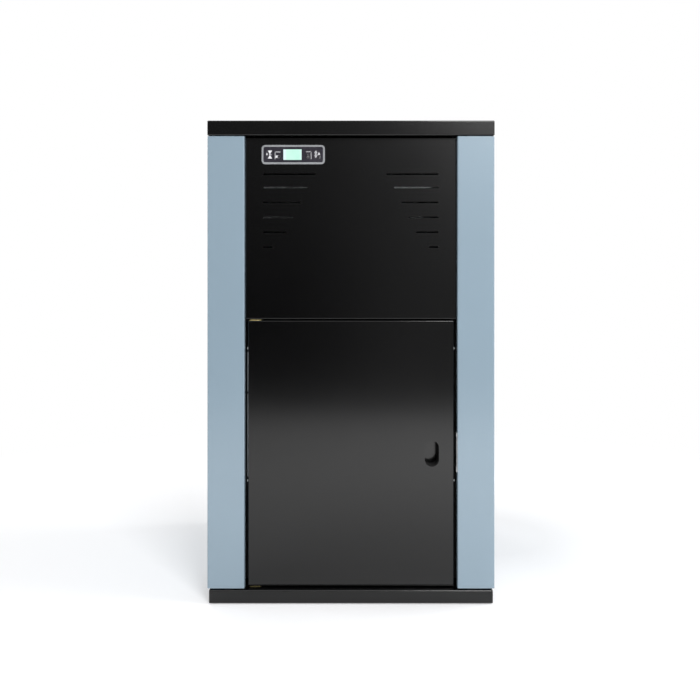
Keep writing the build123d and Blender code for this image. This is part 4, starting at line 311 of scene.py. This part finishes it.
def braid(name):
    """Braided glass rope: two crossing sets of strands, with painted shade in the low parts between them and
    patches of soot.
    """
    made, tree, shader, place = material(name)
    strands = []
    for direction in ((1.0, 0.3, 1.0), (1.0, 0.3, -1.0)):
        wave = tree.nodes.new("ShaderNodeTexWave")
        wave.bands_direction = "DIAGONAL"
        wave.inputs["Scale"].default_value = 110.0
        wave.inputs["Distortion"].default_value = 0.4
        tree.links.new(mapped(tree, place, "Scale", direction), wave.inputs["Vector"])
        strands.append(wave.outputs["Fac"])
    height = arithmetic(tree, "MAXIMUM", strands[0], strands[1])
    soot = noise(tree, place, 18.0, 4.0)
    # Painted shade: the colour darkens with the strands' height into the low parts between them
    tone = ramp(tree, height, [(0.1, (0.3, 0.29, 0.27)), (0.8, (0.66, 0.64, 0.6))])
    dirt = ramp(tree, soot, [(0.35, (0.6, 0.58, 0.55)), (0.65, (1, 1, 1))])
    tree.links.new(blend_colours(tree, 1.0, tone, dirt, "MULTIPLY"), shader.inputs["Base Color"])
    shader.inputs["Roughness"].default_value = 0.85
    add_bump(tree, shader, height, 0.6, 0.0012)
    return made


def laminate(name):
    """Green circuit laminate with copper tracks showing through."""
    made, tree, shader, place = material(name)
    bricks = tree.nodes.new("ShaderNodeTexBrick")
    bricks.inputs["Scale"].default_value = 160.0
    bricks.inputs["Color1"].default_value = (0.01, 0.1, 0.03, 1)
    bricks.inputs["Color2"].default_value = (0.012, 0.13, 0.04, 1)
    bricks.inputs["Mortar"].default_value = (0.05, 0.22, 0.08, 1)
    bricks.inputs["Mortar Size"].default_value = 0.06
    tree.links.new(mapped(tree, place, "Rotation", (math.pi / 2, 0, 0)), bricks.inputs["Vector"])
    tree.links.new(bricks.outputs["Color"], shader.inputs["Base Color"])
    tree.links.new(remap(tree, noise(tree, place, 60.0), 0.25, 0.4), shader.inputs["Roughness"])
    return made


def lit_display(name):
    """Backlit mint display: a paler strip at its left, a slow glow and a pixel grain."""
    made, tree, shader, place = material(name)
    across = remap(tree, axes(tree, place)["X"], 0.0, 1.0, DISPLAY_LEFT, DISPLAY_RIGHT)
    glow = noise(tree, place, 60.0, 2.0)
    tone = ramp(
        tree, across,
        [(0.0, (0.74, 0.92, 0.96)), (0.12, (0.82, 0.98, 0.99)), (0.18, (0.66, 1.0, 0.87)),
         (0.85, (0.6, 1.0, 0.84)), (1.0, (0.74, 1.0, 0.92))],
    )
    drift = ramp(tree, glow, [(0.3, (0.93, 0.96, 0.95)), (0.7, (1, 1, 1))])
    colour = blend_colours(tree, 1.0, tone, drift, "MULTIPLY")
    dark_glass = blend_colours(tree, 1.0, colour, grey(0.05), "MULTIPLY")
    tree.links.new(dark_glass, shader.inputs["Base Color"])
    tree.links.new(colour, shader.inputs["Emission Color"])
    shader.inputs["Emission Strength"].default_value = 0.97
    tree.links.new(remap(tree, glow, 0.12, 0.2), shader.inputs["Roughness"])
    add_bump(tree, shader, noise(tree, place, 2500.0, 1.0), 0.03, 0.0002)
    return made


def printed(name, colour):
    """Screen-printed symbol ink with slightly uneven cover."""
    made, tree, shader, place = material(name)
    cover = noise(tree, place, 1500.0, 3.0)
    tone = ramp(tree, cover, [(0.3, shade(colour, 0.85)), (0.6, colour)])
    tree.links.new(tone, shader.inputs["Base Color"])
    tree.links.new(remap(tree, cover, 0.35, 0.5), shader.inputs["Roughness"])
    return made


panel_paint = paint(
    "dark_panel_paint", (0.002, 0.002, 0.0022), 0.15, spread=0.012, variation=0.1, peel=0.003, speckle=0.05,
    coat=0.5,
)
plinth_paint = paint(
    "dark_plinth_paint", (0.0025, 0.0025, 0.0028), 0.18, spread=0.02, variation=0.1, peel=0.004, speckle=0.05,
    coat=0.4,
)
pilaster_paint = paint(
    "steel_blue_paint", (0.3, 0.4, 0.48), 0.2, spread=0.02, variation=0.015, peel=0.004, speckle=0.015,
    coat=1.0,
)
side_paint = paint(
    "side_panel_paint", (0.3, 0.4, 0.48), 0.24, spread=0.03, variation=0.02, peel=0.006, speckle=0.02,
    coat=0.4,
)
frame_paint = casting("black_frame_paint", (0.04, 0.04, 0.042), 0.6, grain=1500.0, depth=0.12, metallic=0.0)
galvanised = sheet_metal("galvanised_sheet", (0.52, 0.54, 0.55))
duct_sheet = sheet_metal("duct_sheet", (0.46, 0.47, 0.48), 0.38)
rear_sheet = sheet_metal("rear_cover_sheet", (0.5, 0.52, 0.53), 0.4)
liner_sheet = sheet_metal(
    "door_liner_sheet", (0.42, 0.43, 0.44), 0.36, variation=0.1, rolled=(0.04, 0.04, 1.0)
)
bright_zinc = turned("bright_fittings", (0.62, 0.63, 0.64), 0.28, LINES_ALONG_Z)
pale_strip = moulding("pale_strip", (0.9, 0.91, 0.93), 0.35, grain=1200.0, depth=0.05)
yellow_zinc = casting(
    "yellow_zinc", (0.95, 0.74, 0.34), 0.4, grain=900.0, depth=0.06, metallic=0.0, tint=(1.15, 1.05, 0.9)
)
bush_brass = turned("bushes", (0.62, 0.46, 0.2), 0.3, LINES_ALONG_Z)
pull_black = paint(
    "pull_plastic", (0.002, 0.002, 0.0022), 0.13, spread=0.012, variation=0.1, peel=0.002, speckle=0.05,
    specular=0.78,
)
matt_walls(pull_black, 0.75)
seal_rubber = rubber("seal_rubber", grey(0.012))
boiler_paint = casting("boiler_steel", (0.045, 0.046, 0.05), 0.5, grain=500.0, depth=0.15, metallic=0.1)
wool_board = foil_board("insulation_board")
burner_iron = casting(
    "cast_burner", (0.12, 0.1, 0.085), 0.65, grain=450.0, depth=0.4, metallic=0.5, tint=(1.5, 1.05, 0.75)
)
stove_iron = casting("fire_door_iron", (0.035, 0.035, 0.037), 0.55, grain=600.0, depth=0.35, metallic=0.3)
glass_rope = braid("rope")
igniter_skin = moulding("igniter_ceramic", (0.62, 0.58, 0.52), 0.7, grain=900.0, depth=0.2)
worn_steel = turned("auger_steel", (0.4, 0.41, 0.42), 0.36, (1, 0.06, 1))
drawer_steel = sheet_metal("ash_drawer_steel", (0.3, 0.3, 0.31), 0.42, variation=0.14, rolled=(0.03, 1, 1))
motor_alloy = casting(
    "motor_housing", (0.4, 0.41, 0.43), 0.42, grain=650.0, depth=0.2, metallic=0.85, tint=grey(1.1)
)
impeller_steel = turned("impeller_steel", (0.5, 0.5, 0.51), 0.3, LINES_ALONG_X)
air_pipe_steel = turned("air_pipe_steel", (0.5, 0.51, 0.53), 0.34, LINES_ALONG_Y)
pipe_brass = turned("pipe_brass", (0.58, 0.42, 0.2), 0.32, LINES_ALONG_Y)
pump_enamel = casting("pump_iron", (0.2, 0.025, 0.02), 0.4, grain=500.0, depth=0.2, metallic=0.1)
vessel_enamel = paint(
    "vessel_red", (0.4, 0.018, 0.012), 0.3, spread=0.05, variation=0.08, peel=0.03, speckle=0.04
)
black_moulding = moulding("black_moulding", grey(0.014), 0.42)
unit_grey = moulding("unit_case", (0.2, 0.205, 0.215), 0.5)
bezel_grey = moulding("bezel_grey", (0.32, 0.33, 0.345), 0.38, grain=2200.0, depth=0.06)
fascia_film = moulding("fascia_film", (0.03, 0.027, 0.038), 0.25, grain=2600.0, depth=0.05)
key_film = moulding("key_film", (0.036, 0.033, 0.044), 0.3, grain=2600.0, depth=0.06)
display_glow = lit_display("display_glass")
board_green = laminate("board")
symbol_ink = printed("symbol_ink", (0.88, 0.88, 0.91))

finishes = {
    panel_paint: ["front_upper_panel", "door_skin", "top_cover", "hopper_lid"],
    plinth_paint: ["base_plinth"],
    pilaster_paint: ["left_pilaster", "right_pilaster"],
    side_paint: ["left_side_panel", "right_side_panel"],
    frame_paint: ["front_frame", "fire_door_hinges", "flue_collar"],
    galvanised: ["chassis_frame", "top_deck", "hopper", "hopper_guard"],
    duct_sheet: ["smoke_box", "fan_housing"],
    rear_sheet: ["rear_cover"],
    liner_sheet: ["door_liner"],
    bright_zinc: ["levelling_feet", "casing_screws", "door_catches", "lid_hinge_pins"],
    pale_strip: ["door_side_fittings"],
    yellow_zinc: ["door_hinges"],
    bush_brass: ["door_bushes"],
    pull_black: ["finger_pull"],
    seal_rubber: ["door_seal", "hopper_gasket"],
    boiler_paint: ["boiler_body"],
    wool_board: ["insulation_panels"],
    burner_iron: ["burn_pot"],
    stove_iron: ["fire_door", "fire_door_handle"],
    glass_rope: ["fire_door_gasket"],
    igniter_skin: ["igniter"],
    worn_steel: ["auger_screw", "auger_tube"],
    drawer_steel: ["ash_drawer"],
    motor_alloy: ["feed_gearmotor", "fan_motor"],
    impeller_steel: ["fan_impeller"],
    air_pipe_steel: ["air_intake_pipe"],
    pipe_brass: ["flow_pipe", "return_pipe", "safety_valve"],
    pump_enamel: ["circulation_pump"],
    vessel_enamel: ["expansion_vessel"],
    black_moulding: ["mains_inlet", "mains_switch"],
    unit_grey: ["control_unit"],
    bezel_grey: ["control_bezel"],
    fascia_film: ["control_fascia"],
    key_film: ["key_1", "key_2", "key_3", "key_4"],
    display_glow: ["display_window"],
    board_green: ["circuit_board"],
}
for finish, names in finishes.items():
    for name in names:
        nodes[name].data.materials.clear()
        nodes[name].data.materials.append(finish)


# Printed symbols on the keys

def flat_piece(name, outlines, y, finish, body):
    """Thin printed piece in the XZ plane from closed outlines in metres."""
    mesh = bpy.data.meshes.new(name)
    build = bmesh.new()
    for outline in outlines:
        corners = [build.verts.new((x, y, z)) for x, z in outline]
        build.faces.new(corners)
    made = bmesh.ops.extrude_face_region(build, geom=list(build.faces))
    raised = [item for item in made["geom"] if isinstance(item, bmesh.types.BMVert)]
    bmesh.ops.translate(build, vec=(0, -INK_DEPTH, 0), verts=raised)
    bmesh.ops.recalc_face_normals(build, faces=list(build.faces))
    build.to_mesh(mesh)
    build.free()
    piece = bpy.data.objects.new(name, mesh)
    bpy.context.scene.collection.objects.link(piece)
    mesh.materials.append(finish)
    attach(piece, body)


def polygon(x, z, radius, sides, turn=0.0):
    angles = [turn + 2 * math.pi * i / sides for i in range(sides)]
    return [(x + radius * math.cos(angle), z + radius * math.sin(angle)) for angle in angles]


def band(points, width):
    """Closed outlines of a line of a given width through points, with overlapping ends."""
    strips = []
    for (ax, az), (bx, bz) in zip(points, points[1:]):
        along = Vector((bx - ax, bz - az)).normalized()
        side = Vector((-along.y, along.x)) * width / 2
        reach = along * width * 0.4
        strips.append([
            (ax - reach.x + side.x, az - reach.y + side.y),
            (ax - reach.x - side.x, az - reach.y - side.y),
            (bx + reach.x - side.x, bz + reach.y - side.y),
            (bx + reach.x + side.x, bz + reach.y + side.y),
        ])
    return strips


def ring(x, z, radius, width, start=0.0, end=2 * math.pi):
    steps = 20
    angles = [start + (end - start) * i / steps for i in range(steps + 1)]
    return band([(x + radius * math.cos(angle), z + radius * math.sin(angle)) for angle in angles], width)


def key_middle(number):
    low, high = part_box(f"key_{number}")
    return (low.x + high.x) / 2, (low.z + high.z) / 2, low.y - INK_GAP


def arrow(x, z, size, up):
    sign = 1 if up else -1
    return [(x - size, z - sign * size * 0.8), (x + size, z - sign * size * 0.8), (x, z + sign * size * 0.9)]


def half_glass(x, z, width, height, up):
    """Half of an hourglass mark: a bar that narrows to a waist at the middle."""
    sign = 1 if up else -1
    rises = ((1.0, 1.0), (1.0, 0.8), (0.62, 0.6), (0.28, 0.2))
    right_side = [(x + sign * width * share, z + sign * height * rise) for share, rise in rises]
    left_side = [(x - sign * width * share, z + sign * height * rise) for share, rise in reversed(rises)]
    return right_side + left_side


x, z, y = key_middle(1)
glass_x = x + 0.0019
marks = [half_glass(glass_x, z, 0.0049, 0.0102, True), half_glass(glass_x, z, 0.0049, 0.0102, False)]
marks += band([(glass_x - 0.0018, z), (glass_x + 0.003, z)], 0.0016)
marks += [polygon(x - 0.0057, z, 0.0018, 12), polygon(x - 0.0057, z + 0.0028, 0.0014, 12)]
flat_piece("symbol_1", marks, y, symbol_ink, "key_1")

x, z, y = key_middle(2)
marks = band([(x - 0.0056, z - 0.0105), (x - 0.0056, z + 0.0052)], THIN_STROKE)
marks += band([(x - 0.0056, z + 0.0052), (x - 0.0044, z + 0.0066), (x + 0.0074, z + 0.0066)], THIN_STROKE)
marks += [polygon(x - 0.0011, z - 0.0052, 0.0043, 4, math.pi / 4)]
marks += ring(x + 0.0042, z - 0.0052, 0.003, 0.0016)
flat_piece("symbol_2", marks, y, symbol_ink, "key_2")

x, z, y = key_middle(3)
marks = band([(x - 0.0074, z + 0.0072), (x + 0.0038, z + 0.0072), (x + 0.005, z + 0.006)], THIN_STROKE)
marks += band([(x + 0.005, z + 0.006), (x + 0.005, z - 0.0105)], THIN_STROKE)
marks += ring(x - 0.0022, z - 0.0045, 0.0038, 0.0022) + [polygon(x - 0.0022, z - 0.0045, 0.0015, 12)]
flat_piece("symbol_3", marks, y, symbol_ink, "key_3")

x, z, y = key_middle(4)
stem_x = x - 0.0036
roof_x = x + 0.0043
marks = [arrow(stem_x, z + 0.0068, 0.0042, True), arrow(stem_x, z - 0.0048, 0.0042, False)]
marks += band([(stem_x, z + 0.0055), (stem_x, z - 0.0035)], 0.003)
marks += [arrow(roof_x, z + 0.0026, 0.0037, True)]
marks += ring(roof_x, z - 0.0062, 0.0031, 0.0018, 0.5, 5.8)
flat_piece("symbol_4", marks, y, symbol_ink, "key_4")


# Floor, which is pale and keeps the shadow, with painted shade beside the object's right side, and painted
# shade near the object and painted light to the right in what glossy surfaces reflect of it

floor_mesh = bpy.data.meshes.new("floor")
build = bmesh.new()
build.faces.new([build.verts.new(place) for place in FLOOR_CORNERS])
build.to_mesh(floor_mesh)
build.free()
floor = bpy.data.objects.new("floor", floor_mesh)
bpy.context.scene.collection.objects.link(floor)
floor.location.z = -FLOOR_DROP
floor_finish = bpy.data.materials.new("floor")
floor_finish.use_nodes = True
tree = floor_finish.node_tree
tree.nodes.remove(tree.nodes["Principled BSDF"])
diffuse = tree.nodes.new("ShaderNodeBsdfDiffuse")
lift = tree.nodes.new("ShaderNodeEmission")
lift.inputs["Color"].default_value = WHITE
rays = tree.nodes.new("ShaderNodeLightPath")
ground = tree.nodes.new("ShaderNodeTexCoord").outputs["Object"]
seen = arithmetic(tree, "MAXIMUM", rays.outputs["Is Camera Ray"], rays.outputs["Is Glossy Ray"])
seen = arithmetic(tree, "MAXIMUM", seen, rays.outputs["Is Transmission Ray"])
reach = tree.nodes.new("ShaderNodeVectorMath")
reach.operation = "LENGTH"
tree.links.new(ground, reach.inputs[0])
# Painted shade: glossy rays see the floor darker the nearer it is to the object
painted_near_shade = ramp(
    tree, remap(tree, reach.outputs["Value"], 0.0, 1.0, 0.0, 2.5),
    [(0.18, grey(0.79)), (0.24, grey(0.67)), (0.5, grey(0.635)), (0.62, grey(0.63)), (0.76, grey(0.69)),
     (0.88, grey(0.91))],
)
floor_colour_with_painted_shade = blend_colours(tree, rays.outputs["Is Glossy Ray"], (0.9, 0.905, 0.92), painted_near_shade)
# Painted shade: for camera rays the floor's colour darkens around a point beside the object's right side
right_side = tree.nodes.new("ShaderNodeVectorMath")
right_side.operation = "DISTANCE"
tree.links.new(ground, right_side.inputs[0])
right_side.inputs[1].default_value = PAINTED_SHADE_MIDDLE
painted_contact_shade = remap(tree, right_side.outputs["Value"], 0.36, 0.0, 0.2, 0.8)
painted_contact_shade = arithmetic(tree, "MULTIPLY", painted_contact_shade, rays.outputs["Is Camera Ray"])
tree.links.new(
    blend_colours(tree, 1.0, floor_colour_with_painted_shade, arithmetic(tree, "SUBTRACT", 1.0, painted_contact_shade), "MULTIPLY"),
    diffuse.inputs["Color"],
)
far_lift = remap(tree, reach.outputs["Value"], 0.0, 0.3, 0.6, 2.0)
glossy_lift = arithmetic(tree, "MULTIPLY", rays.outputs["Is Glossy Ray"], far_lift)
plain_lift = arithmetic(tree, "MULTIPLY", rays.outputs["Is Camera Ray"], 0.28)
tree.links.new(arithmetic(tree, "ADD", glossy_lift, plain_lift), lift.inputs["Strength"])
near = tree.nodes.new("ShaderNodeAddShader")
tree.links.new(diffuse.outputs["BSDF"], near.inputs[0])
tree.links.new(lift.outputs["Emission"], near.inputs[1])
far = tree.nodes.new("ShaderNodeEmission")
# Painted light: glossy rays see the far floor brighter to the right and dimmer to the left
painted_right_light = remap(tree, axes(tree, ground)["X"], -0.07, 0.27, -0.6, 0.6)
painted_right_light = arithmetic(tree, "MULTIPLY", painted_right_light, rays.outputs["Is Glossy Ray"])
tree.links.new(arithmetic(tree, "ADD", painted_right_light, 1.0), far.inputs["Strength"])
away = remap(tree, reach.outputs["Value"], 0.0, 1.0, 0.9, 2.2)
away = arithmetic(tree, "MULTIPLY", away, seen)
tree.links.new(
    mix_shaders(tree, away, near.outputs["Shader"], far.outputs["Emission"]),
    tree.nodes["Material Output"].inputs["Surface"],
)
floor_mesh.materials.append(floor_finish)


# World: white behind the object, a dim studio in front of it, and soft light all round

world = bpy.data.worlds.new("studio")
bpy.context.scene.world = world
world.use_nodes = True
tree = world.node_tree
soft = tree.nodes["Background"]
soft.inputs["Strength"].default_value = 0.5
white = tree.nodes.new("ShaderNodeBackground")
mirrored = tree.nodes.new("ShaderNodeBackground")
for node in (soft, white, mirrored):
    node.inputs["Color"].default_value = WHITE
direction = axes(tree, tree.nodes.new("ShaderNodeTexCoord").outputs["Generated"])
rise = remap(tree, direction["Z"], 0.015, 0.1, -0.02, 0.22)
low_right = remap(tree, direction["X"], 0.0, 0.15, -0.05, 0.06)
across = remap(tree, direction["X"], 0.0, 1.0, -0.15, 0.16)
high_right = ramp(
    tree, across,
    [(0.32, grey(0.01)), (0.5, grey(0.061)), (0.74, grey(0.125)), (0.82, grey(0.165)), (0.9, grey(0.23)),
     (0.98, grey(0.75))],
)
climb = remap(tree, direction["Z"], 0.0, 1.0, 0.0, 0.18)
change = arithmetic(tree, "MULTIPLY", climb, arithmetic(tree, "SUBTRACT", high_right, low_right))
right = arithmetic(tree, "ADD", low_right, change)
dim = arithmetic(tree, "ADD", rise, right)
ahead = remap(tree, direction["Y"], 1.0, 0.0, -0.75, -0.3)
ahead = arithmetic(tree, "MULTIPLY", ahead, remap(tree, direction["Z"], 1.0, 0.0, 0.35, 0.75))
level = tree.nodes.new("ShaderNodeMix")
tree.links.new(ahead, level.inputs["Factor"])
level.inputs["A"].default_value = 1.0
tree.links.new(dim, level.inputs["B"])
tree.links.new(level.outputs["Result"], mirrored.inputs["Strength"])
rays = tree.nodes.new("ShaderNodeLightPath")
plain = arithmetic(tree, "MAXIMUM", rays.outputs["Is Camera Ray"], rays.outputs["Is Transmission Ray"])
glossy = rays.outputs["Is Glossy Ray"]
studio = mix_shaders(tree, glossy, soft.outputs["Background"], mirrored.outputs["Background"])
tree.links.new(
    mix_shaders(tree, plain, studio, white.outputs["Background"]),
    tree.nodes["World Output"].inputs["Surface"],
)


# Lamps

def area_lamp(name, place, aim, width, height, power):
    data = bpy.data.lights.new(name, "AREA")
    data.shape = "RECTANGLE"
    data.size = width
    data.size_y = height
    data.energy = power
    lamp = bpy.data.objects.new(name, data)
    lamp.location = place
    lamp.rotation_euler = (Vector(aim) - Vector(place)).to_track_quat("-Z", "Y").to_euler()
    bpy.context.scene.collection.objects.link(lamp)


area_lamp("key", (1.35, -4.1, 3.2), aim=(0, 0, 0.7), width=1.5, height=1.6, power=112)
area_lamp("top", (2.6, -0.1, 3.4), aim=(0, -0.1, 0.6), width=2.4, height=2.4, power=70)
area_lamp("rear_fill", (-1.8, 3.2, 2.6), aim=(0, 0, 0.6), width=1.6, height=1.6, power=30)


# Camera at the photograph's angle

camera_data = bpy.data.cameras.new("camera")
camera_data.sensor_width = SENSOR_MM
camera_data.lens = LENS_MM
camera_data.shift_x, camera_data.shift_y = CAMERA_SHIFT
camera_data.clip_end = FAR_CLIP
camera = bpy.data.objects.new("camera", camera_data)
camera.location = CAMERA_PLACE
camera.rotation_euler = (math.pi / 2, 0, 0)
bpy.context.scene.collection.objects.link(camera)
bpy.context.scene.camera = camera

bpy.context.scene.view_settings.view_transform = "Standard"
